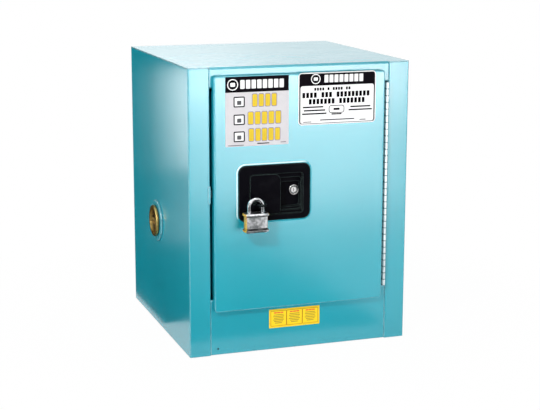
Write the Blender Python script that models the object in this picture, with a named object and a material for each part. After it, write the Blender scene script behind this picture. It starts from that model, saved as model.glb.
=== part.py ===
# Countertop corrosives safety cabinet: double-wall sheet-metal case, one hinged door with a
# recessed paddle latch that works a side bolt and two rods, a hanging padlock, two vents,
# a shelf and its tray. The front faces -Y, +X is to the right, and the base stands on Z = 0.
import math

import bmesh
import bpy
from mathutils import Matrix, Vector

MM = 0.001

# Case
CASE_WIDTH = 432 * MM
CASE_DEPTH = 432 * MM
CASE_HEIGHT = 540 * MM
SHEET = 1.2 * MM
AIR_SPACE = 38 * MM
TOP_AIR_SPACE = 35 * MM
SEAT_GAP = 0.3 * MM
STILE_PROUD = 1.5 * MM
JAMB_DEPTH = 30 * MM
SUMP_CLEARANCE = 54 * MM
SUMP_DEPTH = 51 * MM
SILL_HEM = 14 * MM
REAR_FLANGE = 14 * MM
FOLD_RADIUS = 1.6 * MM
HEADER_RADIUS = 4 * MM
CUT_OVERRUN = 2 * MM

# Door
DOOR_PROUD = 9.5 * MM
DOOR_OVERLAP = 22 * MM
DOOR_EDGE_GAP = 5 * MM
DOOR_CORNER_RADIUS = 6 * MM
DOOR_EDGE_RADIUS = 2.5 * MM
DOOR_SEAL_GAP = 0.8 * MM
PAN_BITE = 28 * MM
PAN_CLEARANCE = 4.5 * MM
PAN_CORNER_RADIUS = 4 * MM

# Piano hinge
HINGE_EDGE_GAP = 11.5 * MM
HINGE_OFFSET = 6 * MM
HINGE_END_GAP = 1.5 * MM
KNUCKLE_RADIUS = 2.9 * MM
KNUCKLE_LENGTH = 12.7 * MM
KNUCKLE_GAP = 0.4 * MM
LEAF = 1.2 * MM
LEAF_DEPTH = 20 * MM
LEAF_SWAGE = 3 * MM
HINGE_PIN_RADIUS = 1.3 * MM
CURL_DEGREES = 270

# Latch dish, in the door front; places are from the door's middle and the case's base
DISH_X = -55 * MM
DISH_Z = 306.8 * MM
DISH_WIDTH = 140 * MM
DISH_HEIGHT = 105 * MM
DISH_RADIUS = 14 * MM
DISH_FLANGE = 2.5 * MM
DISH_SOFTENING = 1.2 * MM
RECESS_SHIFT_X = 3.5 * MM
RECESS_SHIFT_Z = -3.2 * MM
RECESS_WIDTH = 104 * MM
RECESS_HEIGHT = 76 * MM
RECESS_RADIUS = 6 * MM
RECESS_DEPTH = 18 * MM
LEDGE_DEPTHS = (5.5 * MM, 11 * MM)
LEDGE_TOPS = (9 * MM, 9 * MM)
LEDGE_BOTTOMS = (6 * MM, 5 * MM)
LEDGE_LEFTS = (1 * MM, 1.6 * MM)
LEDGE_RIGHT = 0.7 * MM
LEDGE_SOFTENING = 0.6 * MM
DISH_WALL = 2 * MM
DISH_HOLE_CLEARANCE = 1 * MM

# Paddle, its pin and return spring
PADDLE_WIDTH = 59 * MM
PADDLE_THICKNESS = 2.6 * MM
PADDLE_SIDE_GAP = 0.8 * MM
PADDLE_HEEL_GAP = 1.4 * MM
PADDLE_SINK = 1 * MM
PADDLE_SHOULDER = 13 * MM
PADDLE_GRIP_DEPTH = 4.5 * MM
PADDLE_GRIP_THICKNESS = 2.2 * MM
PADDLE_PIN_INSET = 2.9 * MM
PADDLE_PIN_DEPTH = 4.5 * MM
PADDLE_PIN_RADIUS = 1.5 * MM
PADDLE_KNUCKLE_RADIUS = 2.8 * MM
PADDLE_KNUCKLE_LENGTH = 36 * MM
PADDLE_BORE_CLEARANCE = 0.35 * MM
TAIL_WIDTH = 4 * MM
TAIL_HEIGHT = 8 * MM
TAIL_OVERREACH = 1.6 * MM
TAIL_SLOT_SWEEP = 9 * MM
TAIL_SLOT_GAP = 1.5 * MM
SPRING_WIRE = 0.45 * MM
SPRING_PITCH = 1.6 * MM
SPRING_TURNS = 4
SPRING_CLEARANCE = 0.5 * MM

# Hasp staple and padlock; the staple stands beside the paddle's pin
EYE_INSET = 13.4 * MM
EYE_REACH = 21 * MM
EYE_DROP = 14.8 * MM
EYE_RADIUS = 5 * MM
EYE_REST_GAP = 0.8 * MM
STAPLE_HALF_WIDTH = 8 * MM
STAPLE_THICKNESS = 3.5 * MM
STAPLE_SLOT_GAP = 2.4 * MM
SHACKLE_RADIUS = 3.5 * MM
SHACKLE_SPAN = 26 * MM
SHACKLE_BOW_DROP = 1 * MM
PADLOCK_WIDTH = 47 * MM
PADLOCK_THICKNESS = 25 * MM
PADLOCK_DROP = 13.3 * MM
PADLOCK_HEIGHT = 34.5 * MM
PADLOCK_CHAMFER = 6.5 * MM
LAMINATION = 2.6 * MM
LAMINATION_GROOVE = 0.5 * MM
LAMINATION_STEP = 0.45 * MM
END_PLATE = 4.2 * MM
END_PLATE_LIP = 2 * MM
SHACKLE_HOLE_GAP = 0.4 * MM
TOE_LENGTH = 7 * MM
HEEL_LENGTH = 24 * MM
HOLE_SPARE = 1.5 * MM
KEYWAY_WIDTH = 9 * MM
KEYWAY_DEPTH = 1 * MM

# Key cylinder, placed from the recess's right wall and middle
LOCK_INSET = 12.9 * MM
LOCK_RISE = 3.1 * MM
BEZEL_RADIUS = 10.2 * MM
BEZEL_THICKNESS = 3.4 * MM
BEZEL_SOFTENING = 1 * MM
BARREL_RADIUS = 8 * MM
PLUG_RADIUS = 5.4 * MM
PLUG_GAP = 0.3 * MM
PLUG_FACE_STEP = 0.6 * MM
KEY_SLOT_WIDTH = 1.2 * MM
KEY_SLOT_HEIGHT = 6.4 * MM
KEY_SLOT_DEPTH = 2 * MM
TONGUE_WIDTH = 8 * MM
TONGUE_SPARE = 5.5 * MM

# Bolt works behind the dish
WORKS_GAP = 2 * MM
BAR_THICKNESS = 3 * MM
CAM_THICKNESS = 3 * MM
CAM_GAP = 1.5 * MM
CAM_OFFSET = 41 * MM
CAM_BOLT_ARM = 20 * MM
CAM_ROD_ARM = 24 * MM
CAM_ARM_HALF = 6 * MM
CAM_BORE_RADIUS = 4.3 * MM
CAM_STUD_RADIUS = 4 * MM
CAM_STUD_HEAD = 6 * MM
CAM_STUD_HEAD_THICKNESS = 1.6 * MM
CRANK_PIN_RADIUS = 2.4 * MM
CRANK_PIN_GAP = 0.5 * MM
CRANK_SLOT_SWEEP = 1.6 * MM
BOLT_HALF_HEIGHT = 6 * MM
BOLT_NOSE_BEVEL = 5 * MM
ROD_HALF_WIDTH = 6 * MM
ROD_END = 5.5 * MM
ROD_NOSE_HALF = 4 * MM
ROD_NOSE_LENGTH = 16 * MM
ROD_NOSE_BEVEL = 3 * MM
ROD_STOP_GAP = 0.5 * MM
BAR_HOLE_GAP = 1 * MM
GUIDE_LENGTH = 12 * MM
GUIDE_FOOT = 7 * MM
GUIDE_GAP = 0.5 * MM
ROD_GUIDE_INSET = 45 * MM

# Strike plate on the left jamb
STRIKE_THICKNESS = 0.8 * MM
STRIKE_HEIGHT = 32 * MM
STRIKE_DEPTH = 24 * MM
STRIKE_LIP = 5 * MM
STRIKE_WINDOW_GAP = 2 * MM
BOLT_STOP_GAP = 0.8 * MM

# Vents
VENT_Y = 15 * MM
VENT_Z = 214 * MM
VENT_OCTAGON = 80 * MM
VENT_PLATE = 3.6 * MM
VENT_PLATE_BEVEL = 1.2 * MM
VENT_BORE_RADIUS = 26 * MM
VENT_PIPE_WALL = 3 * MM
VENT_HOLE_GAP = 0.5 * MM
VENT_PIPE_LIP = 1.5 * MM
VENT_RIM_RADIUS = 30 * MM
GASKET_THICKNESS = 1.6 * MM
GASKET_INNER_GAP = 0.6 * MM
PLUG_HEAD_RADIUS = 31 * MM
PLUG_HEAD_THICKNESS = 4 * MM
PLUG_HEAD_BEVEL = 1.2 * MM
PLUG_CUP_RADIUS = 24.5 * MM
PLUG_CUP_DEPTH = 14 * MM
PLUG_CUP_DRAFT = 1.4 * MM
PLUG_THREAD_LENGTH = 15 * MM
PLUG_FLOOR = 2.2 * MM
PLUG_THREAD_GAP = 0.5 * MM
PLUG_BAR_WIDTH = 5 * MM
PLUG_BAR_SINK = 5 * MM
SCREEN_THICKNESS = 1 * MM
SCREEN_RIM = 3 * MM
SCREEN_HOLES = 5
SCREEN_WEB = 1.6 * MM

# Shelf, its rails and tray
SHELF_Z = 305 * MM
SHELF_SIDE_GAP = 2 * MM
SHELF_FRONT_GAP = 12 * MM
SHELF_REAR_GAP = 4 * MM
SHELF_LIP = 18 * MM
RAIL_LEG = 14 * MM
RAIL_END_GAP = 8 * MM
TRAY_SIDE_GAP = 7 * MM
TRAY_HEIGHT = 26 * MM
TRAY_WALL = 2.4 * MM
TRAY_RADIUS = 14 * MM
TRAY_DRAFT = 3 * MM
TRAY_RIM = 4 * MM

ROUND_STEPS = 24
SMALL_ROUND_STEPS = 12

# Planes and places that follow from the sizes
HALF_WIDTH = CASE_WIDTH / 2
FRONT = -CASE_DEPTH / 2
REAR = CASE_DEPTH / 2
STILE_WIDTH = SHEET + AIR_SPACE + SHEET
OPENING_HALF = HALF_WIDTH - STILE_WIDTH
WALL_TOP = CASE_HEIGHT - SHEET - SEAT_GAP
HEADER_BOTTOM = CASE_HEIGHT - SHEET - TOP_AIR_SPACE - SHEET
SUMP_FLOOR = SHEET + SUMP_CLEARANCE
SILL_TOP = SUMP_FLOOR + SHEET + SUMP_DEPTH
PANEL_FRONT = FRONT + STILE_PROUD
LINER_FRONT = FRONT + JAMB_DEPTH + SEAT_GAP
LINER_REAR = REAR - SHEET - AIR_SPACE - SHEET

DOOR_FRONT = FRONT - DOOR_PROUD
DOOR_LEFT = -OPENING_HALF + DOOR_EDGE_GAP
DOOR_RIGHT = OPENING_HALF - HINGE_EDGE_GAP
DOOR_TOP = HEADER_BOTTOM + DOOR_OVERLAP
DOOR_BOTTOM = SILL_TOP - DOOR_OVERLAP
PAN_LEFT = DOOR_LEFT + SHEET + SEAT_GAP
PAN_RIGHT = DOOR_RIGHT - SHEET - SEAT_GAP
PAN_TOP = HEADER_BOTTOM - PAN_CLEARANCE
PAN_BOTTOM = SILL_TOP + PAN_CLEARANCE
PAN_BACK = FRONT + PAN_BITE
HINGE_X = OPENING_HALF - HINGE_EDGE_GAP / 2
HINGE_Y = FRONT - HINGE_OFFSET
HINGE_BOTTOM = SILL_TOP + HINGE_END_GAP
HINGE_TOP = HEADER_BOTTOM - HINGE_END_GAP

RECESS_X = DISH_X + RECESS_SHIFT_X
RECESS_Z = DISH_Z + RECESS_SHIFT_Z
RECESS_LEFT = RECESS_X - RECESS_WIDTH / 2
RECESS_RIGHT = RECESS_X + RECESS_WIDTH / 2
RECESS_BOTTOM = RECESS_Z - RECESS_HEIGHT / 2
RECESS_TOP = RECESS_Z + RECESS_HEIGHT / 2
DISH_FACE = DOOR_FRONT - SEAT_GAP - DISH_FLANGE
RECESS_FLOOR = DISH_FACE + RECESS_DEPTH
DISH_BACK = RECESS_FLOOR + DISH_WALL
PADDLE_FRONT = DISH_FACE + PADDLE_SINK
PADDLE_LEFT = RECESS_LEFT + PADDLE_HEEL_GAP
PADDLE_RIGHT = PADDLE_LEFT + PADDLE_WIDTH
PADDLE_BOTTOM = RECESS_BOTTOM + PADDLE_SIDE_GAP
PADDLE_TOP = RECESS_TOP - PADDLE_SIDE_GAP
PADDLE_AXIS_X = PADDLE_LEFT + PADDLE_PIN_INSET
PADDLE_AXIS_Y = PADDLE_FRONT + PADDLE_PIN_DEPTH

BAR_FRONT = DISH_BACK + WORKS_GAP
BAR_BACK = BAR_FRONT + BAR_THICKNESS
CAM_FRONT = BAR_BACK + CAM_GAP
CAM_BACK = CAM_FRONT + CAM_THICKNESS
LOCK_X = RECESS_RIGHT - LOCK_INSET
LOCK_Z = RECESS_Z + LOCK_RISE
BOLT_Z = LOCK_Z
CAM_X = LOCK_X - CAM_OFFSET
CAM_Z = BOLT_Z - CAM_BOLT_ARM
TOP_ROD_X = CAM_X + CAM_ROD_ARM
BOTTOM_ROD_X = CAM_X - CAM_ROD_ARM
JAMB_FACE = -OPENING_HALF
STRIKE_FACE = JAMB_FACE + SEAT_GAP + STRIKE_THICKNESS

EYE_X = PADDLE_AXIS_X + EYE_INSET
EYE_Y = DISH_FACE - EYE_REACH
EYE_Z = RECESS_Z - EYE_DROP
SHACKLE_SPRING_Z = EYE_Z - SHACKLE_BOW_DROP
PADLOCK_X = EYE_X - SHACKLE_SPAN / 2
PADLOCK_TOP_Z = EYE_Z - PADLOCK_DROP

PAINT = "cabinet_paint"
DOOR_PAINT = "door_paint"
BLACK = "latch_black"
CHROME = "lock_chrome"
ZINC = "zinc_steel"
STEEL = "padlock_steel"
BRASS = "plug_brass"
RUBBER = "vent_rubber"
POLY = "tray_poly"

FINISHES = {
    PAINT: ((0.24, 0.60, 0.66, 1.0), 0.38, 0.0),
    DOOR_PAINT: ((0.26, 0.63, 0.69, 1.0), 0.36, 0.0),
    BLACK: ((0.012, 0.012, 0.015, 1.0), 0.32, 0.0),
    CHROME: ((0.74, 0.75, 0.76, 1.0), 0.14, 1.0),
    ZINC: ((0.58, 0.60, 0.61, 1.0), 0.36, 1.0),
    STEEL: ((0.62, 0.63, 0.63, 1.0), 0.24, 1.0),
    BRASS: ((0.62, 0.47, 0.20, 1.0), 0.30, 1.0),
    RUBBER: ((0.02, 0.02, 0.02, 1.0), 0.75, 0.0),
    POLY: ((0.80, 0.81, 0.80, 1.0), 0.45, 0.0),
}


def clear_scene():
    for item in list(bpy.data.objects):
        bpy.data.objects.remove(item, do_unlink=True)


def finish(name):
    material = bpy.data.materials.get(name)
    if material:
        return material
    colour, roughness, metallic = FINISHES[name]
    material = bpy.data.materials.new(name)
    material.use_nodes = True
    shader = material.node_tree.nodes["Principled BSDF"]
    shader.inputs["Base Color"].default_value = colour
    shader.inputs["Roughness"].default_value = roughness
    shader.inputs["Metallic"].default_value = metallic
    material.diffuse_color = colour
    return material


def axis_empty(name, place, parent=None):
    empty = bpy.data.objects.new(name, None)
    bpy.context.collection.objects.link(empty)
    empty["place"] = tuple(place)
    empty.parent = parent
    empty.location = Vector(place) - Vector(parent["place"] if parent else (0, 0, 0))
    return empty


def piece(name, bm, slot, parent=None, crease=None):
    # The mesh is drawn in world places and handed to the parent's own frame here
    bmesh.ops.remove_doubles(bm, verts=bm.verts, dist=SEAT_GAP / 100)
    bmesh.ops.recalc_face_normals(bm, faces=bm.faces)
    origin = Vector(parent["place"]) if parent else Vector((0, 0, 0))
    bmesh.ops.translate(bm, verts=bm.verts, vec=-origin)
    mesh = bpy.data.meshes.new(name)
    bm.to_mesh(mesh)
    bm.free()
    item = bpy.data.objects.new(name, mesh)
    bpy.context.collection.objects.link(item)
    if slot:
        mesh.materials.append(finish(slot))
    item.parent = parent
    if crease:
        mesh.shade_smooth()
        mesh.set_sharp_from_angle(angle=math.radians(crease))
    return item


def combine(target, tool, operation):
    tool.hide_render = True
    tool.display_type = "WIRE"
    change = target.modifiers.new(operation.lower(), "BOOLEAN")
    change.operation = operation
    change.solver = "EXACT"
    change.object = tool


def cut(target, bm):
    tool = piece(target.name + "_cutter", bm, None, target.parent)
    combine(target, tool, "DIFFERENCE")


def weld(target, bm):
    tool = piece(target.name + "_weld", bm, None, target.parent)
    combine(target, tool, "UNION")


def block(low, high):
    bm = bmesh.new()
    bmesh.ops.create_cube(bm, size=1)
    low, high = Vector(low), Vector(high)
    bmesh.ops.scale(bm, verts=bm.verts, vec=high - low)
    bmesh.ops.translate(bm, verts=bm.verts, vec=(low + high) / 2)
    return bm


def gathered(parts):
    whole = bmesh.new()
    for part in parts:
        spare = bpy.data.meshes.new("part")
        part.to_mesh(spare)
        part.free()
        whole.from_mesh(spare)
        bpy.data.meshes.remove(spare)
    return whole


def put(point, axis, level):
    # A point of a flat outline, lifted along one axis: X takes (y, z), Y (x, z), Z (x, y)
    u, v = point
    return {"X": (level, u, v), "Y": (u, level, v), "Z": (u, v, level)}[axis]


def prism(outline, axis, start, end):
    bm = bmesh.new()
    face = bm.faces.new([bm.verts.new(put(point, axis, start)) for point in outline])
    grown = bmesh.ops.extrude_face_region(bm, geom=[face])["geom"]
    moved = [part for part in grown if isinstance(part, bmesh.types.BMVert)]
    bmesh.ops.translate(bm, verts=moved, vec=put((0, 0), axis, end - start))
    return bm


def loft(loops, ring=False):
    # Skins between loops of one length, and either caps both ends or joins them in a ring
    bm = bmesh.new()
    rows = [[bm.verts.new(point) for point in loop] for loop in loops]
    pairs = list(zip(rows, rows[1:] + rows[:1]))
    for near, far in pairs if ring else pairs[:-1]:
        for i, corner in enumerate(near):
            j = (i + 1) % len(near)
            bm.faces.new((corner, near[j], far[j], far[i]))
    if not ring:
        bm.faces.new(rows[0])
        bm.faces.new(rows[-1])
    return bm


def lathe(profile, axis, centre, steps):
    # The profile is (radius, level along the axis); it starts and ends off the axis
    loops = []
    for radius, level in profile:
        loops.append([put(point, axis, level) for point in circle(centre, radius, steps)])
    return loft(loops)


def rod(axis, centre, radius, start, end, steps=SMALL_ROUND_STEPS):
    return prism(circle(centre, radius, steps), axis, start, end)


def circle(centre, radius, steps):
    turns = [math.tau * i / steps for i in range(steps)]
    return [(centre[0] + radius * math.cos(a), centre[1] + radius * math.sin(a)) for a in turns]


def rounded(left, right, bottom, top, radius, steps=4):
    points = []
    corners = ((right, top, 0), (left, top, 90), (left, bottom, 180), (right, bottom, 270))
    for x, z, start in corners:
        inner_x = x + (radius if x == left else -radius)
        inner_z = z + (radius if z == bottom else -radius)
        for i in range(steps + 1):
            angle = math.radians(start + 90 * i / steps)
            points.append((inner_x + radius * math.cos(angle), inner_z + radius * math.sin(angle)))
    return points


def at(outline, axis, level):
    return [put(point, axis, level) for point in outline]


def bent_line(corners, radius, steps=3):
    # A centre line whose corners are rounded as a folded sheet's are
    line = [Vector(corners[0])]
    for before, corner, after in zip(corners, corners[1:], corners[2:]):
        corner = Vector(corner)
        away = (Vector(before) - corner).normalized()
        onward = (Vector(after) - corner).normalized()
        half = away.angle(onward) / 2
        centre = corner + (away + onward).normalized() * radius / math.sin(half)
        start = corner + away * radius / math.tan(half) - centre
        finish_arm = corner + onward * radius / math.tan(half) - centre
        sweep = start.angle_signed(finish_arm)
        for i in range(steps + 1):
            turned = start.copy()
            turned.rotate(Matrix.Rotation(-sweep * i / steps, 2))
            line.append(centre + turned)
    line.append(Vector(corners[-1]))
    return line


def sheet_outline(line, thickness):
    left, right = [], []
    for i, point in enumerate(line):
        before = line[max(i - 1, 0)]
        after = line[min(i + 1, len(line) - 1)]
        along = (after - before).normalized()
        if 0 < i < len(line) - 1:
            bend = (point - before).normalized().angle((after - point).normalized())
            reach = thickness / 2 / math.cos(bend / 2)
        else:
            reach = thickness / 2
        across = Vector((-along.y, along.x)) * reach
        left.append(tuple(point + across))
        right.append(tuple(point - across))
    return left + right[::-1]


def folded_sheet(corners, axis, start, end, thickness=SHEET, radius=FOLD_RADIUS):
    return prism(sheet_outline(bent_line(corners, radius), thickness), axis, start, end)


def fold(bm, face, pivot, degrees, steps=4):
    # Turns a sheet's end face about a line along X and leaves the bend behind it
    for _ in range(steps):
        face = bmesh.ops.extrude_discrete_faces(bm, faces=[face])["faces"][0]
        turn = Matrix.Rotation(math.radians(degrees / steps), 3, "X")
        bmesh.ops.rotate(bm, verts=face.verts, cent=pivot, matrix=turn)
    return face


def run(bm, face, way):
    face = bmesh.ops.extrude_discrete_faces(bm, faces=[face])["faces"][0]
    bmesh.ops.translate(bm, verts=face.verts, vec=way)
    return face


def build_side_panel(side, name):
    jamb = OPENING_HALF + SHEET / 2
    web = HALF_WIDTH - SHEET / 2
    corners = [
        (side * jamb, FRONT + JAMB_DEPTH),
        (side * jamb, FRONT + SHEET / 2),
        (side * web, FRONT + SHEET / 2),
        (side * web, REAR),
    ]
    panel = piece(name, folded_sheet(corners, "Z", 0, WALL_TOP), PAINT)
    cut(panel, vent_hole(side, web))
    if side < 0:
        cut(panel, strike_window())
    return panel


def vent_hole(side, level):
    reach = SHEET + CUT_OVERRUN
    radius = VENT_BORE_RADIUS + VENT_PIPE_WALL + VENT_HOLE_GAP
    ends = sorted((side * (level - reach), side * (level + reach)))
    return rod("X", (VENT_Y, VENT_Z), radius, ends[0], ends[1], ROUND_STEPS)


def strike_window():
    half = BOLT_HALF_HEIGHT + STRIKE_WINDOW_GAP
    return block(
        (JAMB_FACE - SHEET - CUT_OVERRUN, BAR_FRONT - STRIKE_WINDOW_GAP, BOLT_Z - half),
        (STRIKE_FACE + CUT_OVERRUN, BAR_BACK + STRIKE_WINDOW_GAP, BOLT_Z + half),
    )


def rod_hole(x, z):
    half = ROD_NOSE_HALF + BAR_HOLE_GAP
    return block(
        (x - half, BAR_FRONT - BAR_HOLE_GAP, z - SHEET - CUT_OVERRUN),
        (x + half, BAR_BACK + BAR_HOLE_GAP, z + SHEET + CUT_OVERRUN),
    )


def build_top_panel():
    # One blank: the roof, and a tongue of it folded down as the header and back as its jamb
    half = OPENING_HALF - SEAT_GAP
    crease = PANEL_FRONT + HEADER_RADIUS
    plan = [
        (-HALF_WIDTH, FRONT), (-half, FRONT), (-half, crease), (half, crease), (half, FRONT),
        (HALF_WIDTH, FRONT), (HALF_WIDTH, REAR), (-HALF_WIDTH, REAR),
    ]
    bm = prism(plan, "Z", CASE_HEIGHT - SHEET, CASE_HEIGHT)
    bmesh.ops.recalc_face_normals(bm, faces=bm.faces)
    middle = [face for face in bm.faces if abs(face.calc_center_median().y - crease) < SEAT_GAP]
    face = min(middle, key=lambda item: abs(item.calc_center_median().x))
    face = fold(bm, face, (0, crease, CASE_HEIGHT - HEADER_RADIUS), 90)
    low = HEADER_BOTTOM + FOLD_RADIUS + SHEET / 2
    face = run(bm, face, (0, 0, low - (CASE_HEIGHT - HEADER_RADIUS)))
    face = fold(bm, face, (0, PANEL_FRONT + FOLD_RADIUS + SHEET / 2, low), 90)
    run(bm, face, (0, JAMB_DEPTH - STILE_PROUD - FOLD_RADIUS - SHEET / 2, 0))
    panel = piece("top_panel", bm, PAINT, crease=30)
    cut(panel, rod_hole(TOP_ROD_X, HEADER_BOTTOM))


def build_sill_panel():
    front = PANEL_FRONT + SHEET / 2
    corners = [
        (FRONT + JAMB_DEPTH, SILL_TOP - SHEET / 2),
        (front, SILL_TOP - SHEET / 2),
        (front, SHEET / 2),
        (front + SILL_HEM, SHEET / 2),
    ]
    half = OPENING_HALF - SEAT_GAP
    panel = piece("sill_panel", folded_sheet(corners, "X", -half, half), PAINT)
    cut(panel, rod_hole(BOTTOM_ROD_X, SILL_TOP))


def build_bottom_panel():
    wide = HALF_WIDTH - 2 * (SHEET + SEAT_GAP)
    narrow = OPENING_HALF - SEAT_GAP
    start = PANEL_FRONT + SHEET / 2 + SILL_HEM + SEAT_GAP
    end = REAR - SHEET - FOLD_RADIUS - SEAT_GAP
    plan = [
        (-wide, LINER_FRONT), (-narrow, LINER_FRONT), (-narrow, start), (narrow, start),
        (narrow, LINER_FRONT), (wide, LINER_FRONT), (wide, end), (-wide, end),
    ]
    piece("bottom_panel", prism(plan, "Z", 0, SHEET), PAINT)


def build_back_panel():
    edge = HALF_WIDTH - SHEET - SEAT_GAP - SHEET / 2
    corners = [
        (-edge, REAR - REAR_FLANGE),
        (-edge, REAR - SHEET / 2),
        (edge, REAR - SHEET / 2),
        (edge, REAR - REAR_FLANGE),
    ]
    piece("back_panel", folded_sheet(corners, "Z", 0, WALL_TOP), PAINT)


def build_liner():
    outer = OPENING_HALF + SHEET
    for side, name in ((-1, "liner_side_left"), (1, "liner_side_right")):
        ends = sorted((side * OPENING_HALF, side * outer))
        sheet = block(
            (ends[0], LINER_FRONT, SUMP_FLOOR),
            (ends[1], LINER_REAR - SEAT_GAP, HEADER_BOTTOM - SEAT_GAP),
        )
        cut(piece(name, sheet, PAINT), vent_hole(side, OPENING_HALF + SHEET / 2))
    back = block((-outer, LINER_REAR, SUMP_FLOOR), (outer, LINER_REAR + SHEET, HEADER_BOTTOM - SEAT_GAP))
    piece("liner_back", back, PAINT)
    roof = block((-outer, LINER_FRONT, HEADER_BOTTOM), (outer, LINER_REAR + SHEET, HEADER_BOTTOM + SHEET))
    piece("liner_top", roof, PAINT)
    build_sump()


def build_sump():
    # The leakproof pan: its front wall stands as high as the sill
    half = OPENING_HALF - SEAT_GAP
    start, end = LINER_FRONT, LINER_REAR - SEAT_GAP
    inner_radius = FOLD_RADIUS
    outer_radius = FOLD_RADIUS + SHEET
    outside = rounded(-half, half, start, end, outer_radius, 2)
    inside = rounded(-half + SHEET, half - SHEET, start + SHEET, end - SHEET, inner_radius, 2)
    floor_z = SUMP_FLOOR + SHEET
    loops = [
        at(outside, "Z", SUMP_FLOOR), at(outside, "Z", SILL_TOP),
        at(inside, "Z", SILL_TOP), at(inside, "Z", floor_z),
    ]
    piece("liner_sump", loft(loops), PAINT)


def build_vent(side, label):
    def place(distance):
        return side * (HALF_WIDTH + distance)

    octagon = []
    for i in range(ROUND_STEPS):
        angle = math.tau * i / ROUND_STEPS
        off_flat = (angle + math.pi / 8) % (math.pi / 4) - math.pi / 8
        octagon.append(VENT_OCTAGON / 2 / math.cos(off_flat))

    def ring(radii, level):
        points = []
        for i, radius in enumerate(radii):
            angle = math.tau * i / ROUND_STEPS
            points.append((VENT_Y + radius * math.cos(angle), VENT_Z + radius * math.sin(angle)))
        return at(points, "X", level)

    def disc(radius, level):
        return ring([radius] * ROUND_STEPS, level)

    plate_back = SEAT_GAP
    plate_front = SEAT_GAP + VENT_PLATE
    inner_end = -STILE_WIDTH - VENT_PIPE_LIP
    pipe = VENT_BORE_RADIUS + VENT_PIPE_WALL
    bevelled = [radius - VENT_PLATE_BEVEL for radius in octagon]
    loops = [
        ring(octagon, place(plate_back)),
        ring(octagon, place(plate_front - VENT_PLATE_BEVEL)),
        ring(bevelled, place(plate_front)),
        disc(VENT_BORE_RADIUS, place(plate_front)),
        disc(VENT_BORE_RADIUS, place(inner_end)),
        disc(pipe, place(inner_end)),
        disc(pipe, place(plate_back)),
    ]
    piece("vent_collar_" + label, loft(loops, ring=True), PAINT, crease=25)
    build_vent_screen(side, label, place(inner_end))
    build_vent_plug(side, label, place(plate_front))


def build_vent_screen(side, label, inner_end):
    # Flame arrester: a punched disc sprung into the pipe's inner end
    radius = VENT_BORE_RADIUS - SEAT_GAP
    ends = sorted((inner_end, inner_end + side * SCREEN_THICKNESS))
    screen = piece("vent_screen_" + label, rod("X", (VENT_Y, VENT_Z), radius, *ends, ROUND_STEPS), ZINC)
    reach = (radius - SCREEN_RIM) / math.sqrt(2)
    pitch = 2 * reach / SCREEN_HOLES
    half = (pitch - SCREEN_WEB) / 2
    punches = []
    for row in range(SCREEN_HOLES):
        for column in range(SCREEN_HOLES):
            y = VENT_Y - reach + pitch * (column + 0.5)
            z = VENT_Z - reach + pitch * (row + 0.5)
            punches.append(block(
                (ends[0] - CUT_OVERRUN, y - half, z - half), (ends[1] + CUT_OVERRUN, y + half, z + half),
            ))
    cut(screen, gathered(punches))


def build_vent_plug(side, label, seat):
    def level(distance):
        return seat + side * distance

    centre = (VENT_Y, VENT_Z)
    axis = axis_empty("vent_axis_" + label, (seat, VENT_Y, VENT_Z))
    thread = VENT_BORE_RADIUS - PLUG_THREAD_GAP
    gasket_front = SEAT_GAP + GASKET_THICKNESS
    inner = thread + GASKET_INNER_GAP
    profile = [
        (VENT_RIM_RADIUS, level(SEAT_GAP)), (VENT_RIM_RADIUS, level(gasket_front)),
        (inner, level(gasket_front)), (inner, level(SEAT_GAP)),
    ]
    loops = [at(circle(centre, radius, ROUND_STEPS), "X", place) for radius, place in profile]
    piece("vent_gasket_" + label, loft(loops, ring=True), RUBBER, axis, crease=30)

    head_back = gasket_front + SEAT_GAP
    head_front = head_back + PLUG_HEAD_THICKNESS
    cup_floor = head_front - PLUG_CUP_DEPTH
    inner_end = head_back - PLUG_THREAD_LENGTH
    cup_inside = thread - PLUG_FLOOR
    profile = [
        (PLUG_CUP_RADIUS - PLUG_CUP_DRAFT, level(cup_floor)),
        (PLUG_CUP_RADIUS, level(head_front)),
        (PLUG_HEAD_RADIUS - PLUG_HEAD_BEVEL, level(head_front)),
        (PLUG_HEAD_RADIUS, level(head_front - PLUG_HEAD_BEVEL)),
        (PLUG_HEAD_RADIUS, level(head_back)),
        (thread, level(head_back)),
        (thread, level(inner_end)),
        (cup_inside, level(inner_end)),
        (cup_inside, level(cup_floor - PLUG_FLOOR)),
    ]
    plug = piece("vent_plug_" + label, lathe(profile, "X", centre, ROUND_STEPS), BRASS, axis, crease=30)
    half = PLUG_BAR_WIDTH / 2
    ends = sorted((level(cup_floor - PLUG_FLOOR / 2), level(head_front - PLUG_BAR_SINK)))
    reach = (PLUG_CUP_RADIUS + thread) / 2
    upright = block((ends[0], VENT_Y - half, VENT_Z - reach), (ends[1], VENT_Y + half, VENT_Z + reach))
    weld(plug, upright)
    level_bar = block((ends[0], VENT_Y - reach, VENT_Z - half), (ends[1], VENT_Y + reach, VENT_Z + half))
    weld(plug, level_bar)


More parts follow.
